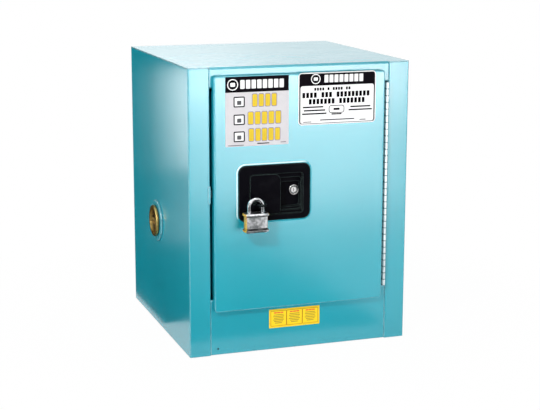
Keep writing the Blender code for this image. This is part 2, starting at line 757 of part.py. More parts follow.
def build_shelf_and_tray():
    half = OPENING_HALF - SHELF_SIDE_GAP
    start = LINER_FRONT + SHELF_FRONT_GAP
    end = LINER_REAR - SHELF_REAR_GAP
    for side, name in ((-1, "shelf_rail_left"), (1, "shelf_rail_right")):
        wall = OPENING_HALF - SEAT_GAP - SHEET / 2
        top = SHELF_Z - SHEET - SEAT_GAP - SHEET / 2
        corners = [
            (side * wall, top - RAIL_LEG),
            (side * wall, top),
            (side * (wall - RAIL_LEG), top),
        ]
        rail = folded_sheet(corners, "Y", start + RAIL_END_GAP, end - RAIL_END_GAP)
        piece(name, rail, ZINC)

    shelf_axis = axis_empty("shelf_axis", (0, (start + end) / 2, SHELF_Z))
    low = SHELF_Z - SHELF_LIP
    corners = [
        (start + SHEET / 2, low), (start + SHEET / 2, SHELF_Z - SHEET / 2),
        (end - SHEET / 2, SHELF_Z - SHEET / 2), (end - SHEET / 2, low),
    ]
    piece("shelf", folded_sheet(corners, "X", -half, half), ZINC, shelf_axis)

    tray_axis = axis_empty("tray_axis", (0, (start + end) / 2, SHELF_Z + SEAT_GAP), shelf_axis)
    half = half - TRAY_SIDE_GAP
    start, end = start + TRAY_SIDE_GAP, end - TRAY_SIDE_GAP
    base_z = SHELF_Z + SEAT_GAP
    rim_z = base_z + TRAY_HEIGHT

    def outline(offset):
        return rounded(-half + offset, half - offset, start + offset, end - offset, TRAY_RADIUS - offset, 3)

    loops = [
        at(outline(TRAY_RIM + TRAY_DRAFT), "Z", base_z),
        at(outline(TRAY_RIM), "Z", rim_z - TRAY_WALL),
        at(outline(0), "Z", rim_z - TRAY_WALL),
        at(outline(0), "Z", rim_z),
        at(outline(TRAY_RIM + TRAY_WALL), "Z", rim_z),
        at(outline(TRAY_RIM + TRAY_DRAFT + TRAY_WALL), "Z", base_z + TRAY_WALL),
    ]
    piece("shelf_tray", loft(loops), POLY, tray_axis)


def build_hinge(door_axis):
    turn = math.radians(CURL_DEGREES)
    middle = KNUCKLE_RADIUS - LEAF / 2
    swage = PANEL_FRONT - DOOR_SEAL_GAP

    def leaf_line(side, wall):
        # From the leaf's hidden edge forward, through the swage, and round the pin
        line = [
            Vector((wall, HINGE_Y + LEAF_DEPTH)),
            Vector((wall, swage + LEAF_SWAGE)),
            Vector((HINGE_X + side * middle, swage)),
        ]
        steps = SMALL_ROUND_STEPS
        for i in range(steps + 1):
            angle = -side * turn * i / steps
            start = 0 if side > 0 else math.pi
            line.append(Vector((
                HINGE_X + middle * math.cos(start + angle),
                HINGE_Y + middle * math.sin(start + angle),
            )))
        return line

    count = 2 * int((HINGE_TOP - HINGE_BOTTOM) / (2 * KNUCKLE_LENGTH)) + 1
    length = count * KNUCKLE_LENGTH
    bottom = (HINGE_BOTTOM + HINGE_TOP - length) / 2
    walls = {1: OPENING_HALF - SEAT_GAP - LEAF / 2, -1: PAN_RIGHT + SEAT_GAP + LEAF / 2}
    plans = (("hinge_frame_leaf", 1, None, PAINT), ("hinge_door_leaf", -1, door_axis, DOOR_PAINT))
    clear = KNUCKLE_RADIUS + KNUCKLE_GAP
    for name, side, parent, slot in plans:
        outline = sheet_outline(leaf_line(side, walls[side]), LEAF)
        leaf = piece(name, prism(outline, "Z", bottom, bottom + length), slot, parent)
        notches = []
        first = 1 if side > 0 else 0
        for i in range(first, count, 2):
            low = bottom + KNUCKLE_LENGTH * i - KNUCKLE_GAP / 2
            high = low + KNUCKLE_LENGTH + KNUCKLE_GAP
            notches.append(block(
                (HINGE_X - clear, HINGE_Y - clear, low), (HINGE_X + clear, HINGE_Y + clear, high),
            ))
        cut(leaf, gathered(notches))
    pin = rod("Z", (HINGE_X, HINGE_Y), HINGE_PIN_RADIUS, bottom, bottom + length, 8)
    piece("hinge_pin", pin, ZINC, crease=50)


def build_door_shells(door_axis):
    def outline(offset, radius):
        return rounded(
            DOOR_LEFT + offset, DOOR_RIGHT - offset, DOOR_BOTTOM + offset, DOOR_TOP - offset, radius,
        )

    rim = PANEL_FRONT - DOOR_SEAL_GAP
    edge = DOOR_EDGE_RADIUS
    half_turn = edge * (1 - math.sqrt(0.5))
    corner = DOOR_CORNER_RADIUS
    inner = corner - SHEET
    loops = [
        at(outline(edge, corner - edge), "Y", DOOR_FRONT),
        at(outline(half_turn, corner - half_turn), "Y", DOOR_FRONT + half_turn),
        at(outline(0, corner), "Y", DOOR_FRONT + edge),
        at(outline(0, corner), "Y", rim),
        at(outline(SHEET, inner), "Y", rim),
        at(outline(SHEET, inner), "Y", DOOR_FRONT + edge),
        at(outline(edge, corner - edge), "Y", DOOR_FRONT + SHEET),
    ]
    skin = piece("door_skin", loft(loops), DOOR_PAINT, door_axis, crease=50)
    wall = DISH_HOLE_CLEARANCE + DISH_WALL
    hole = rounded(
        RECESS_LEFT - wall, RECESS_RIGHT + wall, RECESS_BOTTOM - wall, RECESS_TOP + wall,
        RECESS_RADIUS + wall,
    )
    cut(skin, prism(hole, "Y", DOOR_FRONT - CUT_OVERRUN, DOOR_FRONT + SHEET + CUT_OVERRUN))

    def pan_outline(offset):
        return rounded(
            PAN_LEFT + offset, PAN_RIGHT - offset, PAN_BOTTOM + offset, PAN_TOP - offset,
            PAN_CORNER_RADIUS - offset, 3,
        )

    soft = FOLD_RADIUS
    front = DOOR_FRONT + edge + SEAT_GAP
    loops = [
        at(pan_outline(soft), "Y", PAN_BACK),
        at(pan_outline(0), "Y", PAN_BACK - soft),
        at(pan_outline(0), "Y", front),
        at(pan_outline(SHEET), "Y", front),
        at(pan_outline(SHEET), "Y", PAN_BACK - soft),
        at(pan_outline(soft + SHEET / 2), "Y", PAN_BACK - SHEET),
    ]
    pan = piece("door_inner_pan", loft(loops), DOOR_PAINT, door_axis, crease=30)
    half = BOLT_HALF_HEIGHT + BAR_HOLE_GAP
    cut(pan, block(
        (PAN_LEFT - CUT_OVERRUN, BAR_FRONT - BAR_HOLE_GAP, BOLT_Z - half),
        (PAN_LEFT + SHEET + CUT_OVERRUN, BAR_BACK + BAR_HOLE_GAP, BOLT_Z + half),
    ))
    cut(pan, rod_hole(TOP_ROD_X, PAN_TOP))
    cut(pan, rod_hole(BOTTOM_ROD_X, PAN_BOTTOM))


def build_dish(door_axis):
    half_x, half_z = DISH_WIDTH / 2, DISH_HEIGHT / 2

    def flange(offset):
        return rounded(
            DISH_X - half_x + offset, DISH_X + half_x - offset,
            DISH_Z - half_z + offset, DISH_Z + half_z - offset, DISH_RADIUS - offset,
        )

    def mouth(offset):
        return rounded(
            RECESS_LEFT + offset, RECESS_RIGHT - offset,
            RECESS_BOTTOM + offset, RECESS_TOP - offset, RECESS_RADIUS - offset,
        )

    def ledge(number, offset, radius=RECESS_RADIUS):
        return rounded(
            RECESS_LEFT + sum(LEDGE_LEFTS[:number]) + offset,
            RECESS_RIGHT - LEDGE_RIGHT * number - offset,
            RECESS_BOTTOM + sum(LEDGE_BOTTOMS[:number]) + offset,
            RECESS_TOP - sum(LEDGE_TOPS[:number]) - offset, radius,
        )

    soft = LEDGE_SOFTENING
    flange_back = DISH_FACE + DISH_FLANGE
    upper, lower = (DISH_FACE + depth for depth in LEDGE_DEPTHS)
    loops = [
        at(ledge(2, soft, RECESS_RADIUS - soft), "Y", RECESS_FLOOR),
        at(ledge(2, 0), "Y", RECESS_FLOOR - soft),
        at(ledge(2, 0), "Y", lower + soft),
        at(ledge(2, -soft), "Y", lower),
        at(ledge(1, 0), "Y", lower),
        at(ledge(1, 0), "Y", upper + soft),
        at(ledge(1, -soft), "Y", upper),
        at(mouth(0), "Y", upper),
        at(mouth(0), "Y", DISH_FACE + soft),
        at(mouth(-soft), "Y", DISH_FACE),
        at(flange(DISH_SOFTENING), "Y", DISH_FACE),
        at(flange(0), "Y", DISH_FACE + DISH_SOFTENING),
        at(flange(0), "Y", flange_back),
        at(mouth(-DISH_WALL), "Y", flange_back),
        at(mouth(-DISH_WALL), "Y", DISH_BACK - DISH_WALL),
        at(mouth(0), "Y", DISH_BACK),
    ]
    dish = piece("latch_dish", loft(loops), BLACK, door_axis, crease=35)
    tail = TAIL_WIDTH / 2 + TAIL_SLOT_GAP
    half = TAIL_HEIGHT / 2 + TAIL_SLOT_GAP
    cut(dish, block(
        (PADDLE_AXIS_X - tail, lower - TAIL_SLOT_GAP, BOLT_Z - half),
        (PADDLE_AXIS_X + tail + TAIL_SLOT_SWEEP, DISH_BACK + CUT_OVERRUN, BOLT_Z + half),
    ))
    hole = BARREL_RADIUS + SEAT_GAP
    cut(dish, rod("Y", (LOCK_X, LOCK_Z), hole, lower, DISH_BACK + CUT_OVERRUN, ROUND_STEPS))


def build_paddle(paddle_axis, door_axis):
    shoulder = PADDLE_SHOULDER
    steps = SMALL_ROUND_STEPS // 2
    outline = rounded(PADDLE_LEFT, PADDLE_RIGHT, PADDLE_BOTTOM, PADDLE_TOP, RECESS_RADIUS, 3)[4:]
    for i in range(steps + 1):
        angle = math.radians(90 * i / steps)
        outline.append((
            PADDLE_RIGHT - shoulder + shoulder * math.cos(angle),
            PADDLE_TOP - shoulder + shoulder * math.sin(angle),
        ))
    back = PADDLE_FRONT + PADDLE_THICKNESS
    paddle = piece("latch_paddle", prism(outline, "Y", PADDLE_FRONT, back), BLACK, paddle_axis, crease=40)

    inset = RECESS_RADIUS
    weld(paddle, block(
        (PADDLE_RIGHT - PADDLE_GRIP_THICKNESS, back - PADDLE_THICKNESS / 2, PADDLE_BOTTOM + inset),
        (PADDLE_RIGHT - PADDLE_SIDE_GAP, back + PADDLE_GRIP_DEPTH, PADDLE_TOP - shoulder),
    ))
    axis = (PADDLE_AXIS_X, PADDLE_AXIS_Y)
    between_ledges = RECESS_Z + (LEDGE_BOTTOMS[0] - LEDGE_TOPS[0]) / 2
    low = between_ledges - PADDLE_KNUCKLE_LENGTH / 2
    high = between_ledges + PADDLE_KNUCKLE_LENGTH / 2
    weld(paddle, rod("Z", axis, PADDLE_KNUCKLE_RADIUS, low, high))
    tail_end = BAR_BACK + TAIL_OVERREACH
    weld(paddle, block(
        (PADDLE_AXIS_X - TAIL_WIDTH / 2, PADDLE_AXIS_Y, BOLT_Z - TAIL_HEIGHT / 2),
        (PADDLE_AXIS_X + TAIL_WIDTH / 2, tail_end, BOLT_Z + TAIL_HEIGHT / 2),
    ))
    bore = PADDLE_PIN_RADIUS + PADDLE_BORE_CLEARANCE
    cut(paddle, rod("Z", axis, bore, low - CUT_OVERRUN, high + CUT_OVERRUN))
    slot_x = STAPLE_HALF_WIDTH + STAPLE_SLOT_GAP
    slot_z = STAPLE_THICKNESS / 2 + STAPLE_SLOT_GAP / 2
    cut(paddle, block(
        (EYE_X - slot_x, PADDLE_FRONT - CUT_OVERRUN, EYE_Z - slot_z),
        (EYE_X + slot_x, PADDLE_AXIS_Y + PADDLE_KNUCKLE_RADIUS + CUT_OVERRUN, EYE_Z + slot_z),
    ))

    coil = PADDLE_PIN_RADIUS + 2 * SPRING_WIRE + SPRING_CLEARANCE + SEAT_GAP
    cut(paddle, block(
        (PADDLE_AXIS_X - coil, PADDLE_AXIS_Y - coil, high),
        (PADDLE_AXIS_X + coil, PADDLE_AXIS_Y + coil, high + SPRING_PITCH * (SPRING_TURNS + 2)),
    ))

    # The pin runs between the first ledges, clear of their rounded corners
    inset = RECESS_RADIUS - (PADDLE_AXIS_X - PADDLE_PIN_RADIUS - RECESS_LEFT - LEDGE_LEFTS[0])
    bite = RECESS_RADIUS - math.sqrt(RECESS_RADIUS ** 2 - inset ** 2)
    short = bite + SEAT_GAP
    pin_ends = RECESS_BOTTOM + LEDGE_BOTTOMS[0] + short, RECESS_TOP - LEDGE_TOPS[0] - short
    pin = rod("Z", axis, PADDLE_PIN_RADIUS, *pin_ends)
    piece("paddle_pin", pin, ZINC, door_axis, crease=50)
    build_spring(door_axis, high)


def build_spring(door_axis, start):
    curve = bpy.data.curves.new("paddle_spring", "CURVE")
    curve.dimensions = "3D"
    curve.bevel_depth = SPRING_WIRE
    curve.bevel_resolution = 1
    curve.use_fill_caps = True
    steps = 10
    count = SPRING_TURNS * steps + 1
    spline = curve.splines.new("POLY")
    spline.points.add(count - 1)
    radius = PADDLE_PIN_RADIUS + SPRING_WIRE + SPRING_CLEARANCE
    origin = Vector(door_axis["place"])
    base = start + SPRING_WIRE + SPRING_CLEARANCE
    for i in range(count):
        angle = math.tau * i / steps
        point = Vector((
            PADDLE_AXIS_X + radius * math.cos(angle),
            PADDLE_AXIS_Y + radius * math.sin(angle),
            base + SPRING_PITCH * i / steps,
        )) - origin
        spline.points[i].co = (*point, 1)
    item = bpy.data.objects.new("paddle_spring", curve)
    bpy.context.collection.objects.link(item)
    curve.materials.append(finish(ZINC))
    item.parent = door_axis


def build_staple(door_axis):
    # A flat loop fixed in the dish, reaching out through the paddle
    half = STAPLE_HALF_WIDTH
    steps = SMALL_ROUND_STEPS
    outline = [(EYE_X + half, RECESS_FLOOR - SEAT_GAP), (EYE_X - half, RECESS_FLOOR - SEAT_GAP)]
    for i in range(steps + 1):
        angle = math.pi + math.pi * i / steps
        outline.append((EYE_X + half * math.cos(angle), EYE_Y + half * math.sin(angle)))
    low, high = EYE_Z - STAPLE_THICKNESS / 2, EYE_Z + STAPLE_THICKNESS / 2
    staple = piece("hasp_staple", prism(outline, "Z", low, high), BLACK, door_axis, crease=40)
    # The shackle's leg hangs near the front of the eye, and its bow clears the rim as it swings
    slack = EYE_RADIUS - SHACKLE_RADIUS - EYE_REST_GAP
    eye = (EYE_X, EYE_Y + slack)
    cut(staple, rod("Z", eye, EYE_RADIUS, low - CUT_OVERRUN, high + CUT_OVERRUN, ROUND_STEPS))


def build_lock(door_axis, key_axis):
    centre = (LOCK_X, LOCK_Z)
    bezel_back = RECESS_FLOOR - SEAT_GAP
    bezel_front = bezel_back - BEZEL_THICKNESS
    bore = PLUG_RADIUS + PLUG_GAP
    barrel_back = CAM_FRONT - SEAT_GAP
    profile = [
        (bore, bezel_front), (BEZEL_RADIUS - BEZEL_SOFTENING, bezel_front),
        (BEZEL_RADIUS, bezel_front + BEZEL_SOFTENING), (BEZEL_RADIUS, bezel_back),
        (BARREL_RADIUS, bezel_back), (BARREL_RADIUS, barrel_back), (bore, barrel_back),
    ]
    loops = [at(circle(centre, radius, ROUND_STEPS), "Y", level) for radius, level in profile]
    piece("lock_barrel", loft(loops, ring=True), CHROME, door_axis, crease=30)

    face = bezel_front + PLUG_FACE_STEP
    plug = piece("key_plug", rod("Y", centre, PLUG_RADIUS, face, CAM_BACK), CHROME, key_axis, crease=40)
    cut(plug, block(
        (LOCK_X - KEY_SLOT_WIDTH / 2, face - CUT_OVERRUN, LOCK_Z - KEY_SLOT_HEIGHT / 2),
        (LOCK_X + KEY_SLOT_WIDTH / 2, face + KEY_SLOT_DEPTH, LOCK_Z + KEY_SLOT_HEIGHT / 2),
    ))
    # Turned a quarter, the tongue's tip stands beside the cam's upper arm
    tip = LOCK_X - (CAM_X + CAM_ARM_HALF + TONGUE_SPARE)
    half = TONGUE_WIDTH / 2
    weld(plug, block(
        (LOCK_X - half, CAM_FRONT, LOCK_Z), (LOCK_X + half, CAM_BACK, LOCK_Z + tip),
    ))


def crank_slot(x, z, along_x):
    pin = CRANK_PIN_RADIUS + CRANK_PIN_GAP
    wide = pin + (CRANK_SLOT_SWEEP if along_x else 0)
    high = pin + (0 if along_x else CRANK_SLOT_SWEEP)
    return block(
        (x - wide, BAR_FRONT - CUT_OVERRUN, z - high), (x + wide, BAR_BACK + CUT_OVERRUN, z + high),
    )


def build_cam(cam_axis, door_axis):
    half = CAM_ARM_HALF
    steps = SMALL_ROUND_STEPS // 2
    outline = [(CAM_X - half, CAM_Z - half), (CAM_X + half, CAM_Z - half)]
    arms = ((0, CAM_ROD_ARM), (90, CAM_BOLT_ARM), (180, CAM_ROD_ARM))
    for turn, reach in arms:
        way = math.radians(turn)
        end_x, end_z = CAM_X + reach * math.cos(way), CAM_Z + reach * math.sin(way)
        for i in range(steps + 1):
            angle = way - math.pi / 2 + math.pi * i / steps
            outline.append((end_x + half * math.cos(angle), end_z + half * math.sin(angle)))
        if turn < 180:
            inner = way + math.pi / 4
            corner = half * math.sqrt(2)
            outline.append((CAM_X + corner * math.cos(inner), CAM_Z + corner * math.sin(inner)))
    cam = piece("latch_cam", prism(outline, "Y", CAM_FRONT, CAM_BACK), ZINC, cam_axis, crease=40)
    for turn, reach in arms:
        way = math.radians(turn)
        centre = (CAM_X + reach * math.cos(way), CAM_Z + reach * math.sin(way))
        weld(cam, rod("Y", centre, CRANK_PIN_RADIUS, BAR_FRONT, CAM_BACK - CAM_THICKNESS / 2))
    bore = rod("Y", (CAM_X, CAM_Z), CAM_BORE_RADIUS, CAM_FRONT - CUT_OVERRUN, CAM_BACK + CUT_OVERRUN)
    cut(cam, bore)

    wall = PAN_BACK - SHEET - SEAT_GAP
    head_back = CAM_FRONT - SEAT_GAP
    profile = [
        (CAM_STUD_HEAD, head_back - CAM_STUD_HEAD_THICKNESS), (CAM_STUD_HEAD, head_back),
        (CAM_STUD_RADIUS, head_back), (CAM_STUD_RADIUS, CAM_BACK + SEAT_GAP),
        (CAM_STUD_HEAD, CAM_BACK + SEAT_GAP), (CAM_STUD_HEAD, wall),
    ]
    stud = lathe(profile, "Y", (CAM_X, CAM_Z), SMALL_ROUND_STEPS)
    piece("cam_stud", stud, ZINC, door_axis, crease=50)


def build_bars(door_axis, bolt_axis, top_axis, bottom_axis):
    # The nose keeps clear of the strike while the door swings it past
    depth = BAR_BACK - HINGE_Y
    swing = HINGE_X - STRIKE_FACE - BOLT_STOP_GAP
    nose = HINGE_X - math.sqrt(swing ** 2 - depth ** 2)
    end = CAM_X + CAM_ARM_HALF
    plan = [
        (nose, BAR_BACK), (nose + BOLT_NOSE_BEVEL, BAR_FRONT), (end, BAR_FRONT), (end, BAR_BACK),
    ]
    low, high = BOLT_Z - BOLT_HALF_HEIGHT, BOLT_Z + BOLT_HALF_HEIGHT
    bolt = piece("side_bolt", prism(plan, "Z", low, high), ZINC, bolt_axis)
    window_x = TAIL_WIDTH / 2 + PADDLE_SIDE_GAP
    window_z = TAIL_HEIGHT / 2 + SEAT_GAP
    cut(bolt, block(
        (PADDLE_AXIS_X - window_x, BAR_FRONT - CUT_OVERRUN, BOLT_Z - window_z),
        (PADDLE_AXIS_X + window_x, BAR_BACK + CUT_OVERRUN, BOLT_Z + window_z),
    ))
    cut(bolt, crank_slot(CAM_X, BOLT_Z, along_x=False))

    plans = (
        ("top_rod", TOP_ROD_X, 1, HEADER_BOTTOM, top_axis),
        ("bottom_rod", BOTTOM_ROD_X, -1, SILL_TOP, bottom_axis),
    )
    for name, x, way, edge, axis in plans:
        tip = edge - way * ROD_STOP_GAP
        shoulder = tip - way * ROD_NOSE_LENGTH
        wide, slim, bevel = ROD_HALF_WIDTH, ROD_NOSE_HALF, ROD_NOSE_BEVEL
        heel = CAM_Z - way * ROD_END
        outline = [
            (x - wide, heel), (x + wide, heel), (x + wide, shoulder - way * bevel),
            (x + slim, shoulder), (x + slim, tip - way * bevel), (x + slim - bevel, tip),
            (x - slim + bevel, tip), (x - slim, tip - way * bevel), (x - slim, shoulder),
            (x - wide, shoulder - way * bevel),
        ]
        bar = piece(name, prism(outline, "Y", BAR_FRONT, BAR_BACK), ZINC, axis)
        cut(bar, crank_slot(x, CAM_Z, along_x=True))

    wall = PAN_BACK - SHEET - SEAT_GAP - SHEET / 2
    bridge = BAR_FRONT - GUIDE_GAP - SHEET / 2

    def hat(centre, half):
        near = half + GUIDE_GAP + SHEET / 2
        return [
            (centre - near - GUIDE_FOOT, wall), (centre - near, wall), (centre - near, bridge),
            (centre + near, bridge), (centre + near, wall), (centre + near + GUIDE_FOOT, wall),
        ]

    for name, x, z in (
        ("top_rod_guide", TOP_ROD_X, PAN_TOP - ROD_GUIDE_INSET),
        ("bottom_rod_guide", BOTTOM_ROD_X, PAN_BOTTOM + ROD_GUIDE_INSET),
    ):
        half = GUIDE_LENGTH / 2
        guide = folded_sheet(hat(x, ROD_HALF_WIDTH), "Z", z - half, z + half)
        piece(name, guide, ZINC, door_axis)
    flipped = [(y, z) for z, y in hat(BOLT_Z, BOLT_HALF_HEIGHT)]
    start = (PAN_LEFT + PADDLE_AXIS_X - GUIDE_LENGTH) / 2
    piece("bolt_guide", folded_sheet(flipped, "X", start, start + GUIDE_LENGTH), ZINC, door_axis)


def build_strike():
    plate = JAMB_FACE + SEAT_GAP + STRIKE_THICKNESS / 2
    lip = FRONT - SEAT_GAP - STRIKE_THICKNESS / 2
    corners = [
        (plate, FRONT + STRIKE_DEPTH), (plate, lip), (plate - STRIKE_LIP, lip),
    ]
    low, high = BOLT_Z - STRIKE_HEIGHT / 2, BOLT_Z + STRIKE_HEIGHT / 2
    sheet = folded_sheet(corners, "Z", low, high, STRIKE_THICKNESS, STRIKE_THICKNESS)
    strike = piece("strike_plate", sheet, PAINT)
    cut(strike, strike_window())


def padlock_outline(offset):
    half_x, half_y = PADLOCK_WIDTH / 2 + offset, PADLOCK_THICKNESS / 2 + offset
    chamfer = PADLOCK_CHAMFER
    x, y = PADLOCK_X, EYE_Y
    bite = chamfer * (1 - math.sqrt(0.5))
    points = []
    for sign_x, sign_y in ((1, 1), (-1, 1), (-1, -1), (1, -1)):
        corner = [
            (x + sign_x * half_x, y + sign_y * (half_y - chamfer)),
            (x + sign_x * (half_x - bite), y + sign_y * (half_y - bite)),
            (x + sign_x * (half_x - chamfer), y + sign_y * half_y),
        ]
        points += corner if sign_x * sign_y > 0 else corner[::-1]
    return points


def build_padlock(swing_axis, shackle_axis):
    # A stack of punched plates between two thicker, wider end plates
    top, bottom = PADLOCK_TOP_Z, PADLOCK_TOP_Z - PADLOCK_HEIGHT
    stack_top, stack_bottom = top - END_PLATE, bottom + END_PLATE
    count = int((stack_top - stack_bottom) / LAMINATION)
    pitch = (stack_top - stack_bottom) / count
    face = padlock_outline(-END_PLATE_LIP)
    deep = padlock_outline(-END_PLATE_LIP - LAMINATION_STEP)
    soft = padlock_outline(-END_PLATE_LIP / 2)
    full = padlock_outline(0)
    groove = LAMINATION_GROOVE / 2
    loops = [at(soft, "Z", bottom), at(full, "Z", bottom + END_PLATE_LIP), at(full, "Z", stack_bottom)]
    for i in range(count):
        low = stack_bottom + pitch * i
        loops += [at(deep, "Z", low), at(deep, "Z", low + groove)]
        loops += [at(face, "Z", low + 2 * groove), at(face, "Z", low + pitch - groove)]
    loops += [at(deep, "Z", stack_top), at(full, "Z", stack_top)]
    loops += [at(full, "Z", top - END_PLATE_LIP), at(soft, "Z", top)]
    body = piece("padlock_body", loft(loops), STEEL, swing_axis)
    heel_x, toe_x = EYE_X, EYE_X - SHACKLE_SPAN
    hole = SHACKLE_RADIUS + SHACKLE_HOLE_GAP
    for x, depth in ((heel_x, HEEL_LENGTH), (toe_x, TOE_LENGTH)):
        low = top - depth - HOLE_SPARE
        cut(body, rod("Z", (x, EYE_Y), hole, low, top + CUT_OVERRUN))
    keyway = block(
        (PADLOCK_X - KEYWAY_WIDTH / 2, EYE_Y - KEYWAY_DEPTH, bottom - CUT_OVERRUN),
        (PADLOCK_X + KEYWAY_WIDTH / 2, EYE_Y + KEYWAY_DEPTH, bottom + END_PLATE / 2),
    )
    cut(body, keyway)

    loops = []

    def ring(centre, lean):
        # One section of the bar; lean turns it round the bow
        points = []
        for i in range(SMALL_ROUND_STEPS):
            angle = math.tau * i / SMALL_ROUND_STEPS
            out = SHACKLE_RADIUS * math.cos(angle)
            across = SHACKLE_RADIUS * math.sin(angle)
            points.append((
                centre[0] + out * math.cos(lean), EYE_Y + across, centre[1] + out * math.sin(lean),
            ))
        return points

    loops.append(ring((heel_x, top - HEEL_LENGTH), 0))
    steps = SMALL_ROUND_STEPS
    bow = SHACKLE_SPAN / 2
    for i in range(steps + 1):
        lean = math.pi * i / steps
        centre = (PADLOCK_X + bow * math.cos(lean), SHACKLE_SPRING_Z + bow * math.sin(lean))
        loops.append(ring(centre, lean))
    loops.append(ring((toe_x, top - TOE_LENGTH), math.pi))
    piece("padlock_shackle", loft(loops), STEEL, shackle_axis, crease=40)


def build():
    clear_scene()
    build_side_panel(-1, "side_panel_left")
    build_side_panel(1, "side_panel_right")
    build_top_panel()
    build_sill_panel()
    build_bottom_panel()
    build_back_panel()
    build_liner()
    build_strike()
    build_vent(-1, "left")
    build_vent(1, "right")
    build_shelf_and_tray()

    door_axis = axis_empty("door_axis", (HINGE_X, HINGE_Y, HINGE_BOTTOM))
    paddle_axis = axis_empty("paddle_axis", (PADDLE_AXIS_X, PADDLE_AXIS_Y, RECESS_Z), door_axis)
    key_axis = axis_empty("key_axis", (LOCK_X, RECESS_FLOOR, LOCK_Z), door_axis)
    cam_axis = axis_empty("cam_axis", (CAM_X, CAM_FRONT, CAM_Z), door_axis)
    bolt_axis = axis_empty("bolt_axis", (CAM_X, BAR_FRONT, BOLT_Z), door_axis)
    top_axis = axis_empty("top_rod_axis", (TOP_ROD_X, BAR_FRONT, CAM_Z), door_axis)
    bottom_axis = axis_empty("bottom_rod_axis", (BOTTOM_ROD_X, BAR_FRONT, CAM_Z), door_axis)
    swing_axis = axis_empty("padlock_axis", (EYE_X, EYE_Y, EYE_Z), door_axis)
    shackle_axis = axis_empty("shackle_axis", (EYE_X, EYE_Y, EYE_Z), swing_axis)
    build_hinge(door_axis)
    build_door_shells(door_axis)
    build_dish(door_axis)
    build_paddle(paddle_axis, door_axis)
    build_staple(door_axis)
    build_lock(door_axis, key_axis)
    build_cam(cam_axis, door_axis)
    build_bars(door_axis, bolt_axis, top_axis, bottom_axis)
    build_padlock(swing_axis, shackle_axis)


build()
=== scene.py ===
import math

import bmesh
import bpy
from mathutils import Matrix, Vector


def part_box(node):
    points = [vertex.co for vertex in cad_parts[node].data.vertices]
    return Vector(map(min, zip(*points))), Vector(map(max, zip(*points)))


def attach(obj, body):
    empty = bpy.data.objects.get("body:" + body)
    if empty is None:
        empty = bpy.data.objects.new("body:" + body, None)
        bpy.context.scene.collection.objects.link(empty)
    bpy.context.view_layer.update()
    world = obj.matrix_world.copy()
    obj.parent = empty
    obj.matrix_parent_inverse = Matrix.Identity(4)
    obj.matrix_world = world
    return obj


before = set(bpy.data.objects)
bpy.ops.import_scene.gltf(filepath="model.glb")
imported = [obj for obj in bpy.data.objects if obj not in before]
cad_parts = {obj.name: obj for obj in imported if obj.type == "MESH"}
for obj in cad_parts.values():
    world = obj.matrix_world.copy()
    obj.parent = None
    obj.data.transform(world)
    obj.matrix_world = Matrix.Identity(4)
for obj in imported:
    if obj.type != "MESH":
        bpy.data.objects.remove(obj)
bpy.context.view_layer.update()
mm = 0.001
print("frame loaded")


class Flow:
    def __init__(self, graph, socket):
        self.graph = graph
        self.socket = socket

    def maths(self, operation, *values, clamp=False):
        made = self.graph.add("ShaderNodeMath", {"operation": operation, "use_clamp": clamp}, list(values))
        return made.out(0)

    def __add__(self, other):
        return self.maths("ADD", self, other)

    def __radd__(self, other):
        return self.maths("ADD", other, self)

    def __sub__(self, other):
        return self.maths("SUBTRACT", self, other)

    def __rsub__(self, other):
        return self.maths("SUBTRACT", other, self)

    def __mul__(self, other):
        return self.maths("MULTIPLY", self, other)

    def __rmul__(self, other):
        return self.maths("MULTIPLY", other, self)

    def __truediv__(self, other):
        return self.maths("DIVIDE", self, other)

    def clamped(self):
        return self.maths("ADD", self, 0.0, clamp=True)

    def above(self, edge, soft):
        # A mask: 0 up to the edge, then a ramp of this softness to 1
        return self.maths("DIVIDE", self - edge, soft, clamp=True)

    def absolute(self):
        return self.maths("ABSOLUTE", self)

    def fraction(self):
        return self.maths("FRACT", self)


class Made:
    def __init__(self, graph, node):
        self.graph = graph
        self.node = node

    def out(self, which=0):
        return Flow(self.graph, self.node.outputs[which])


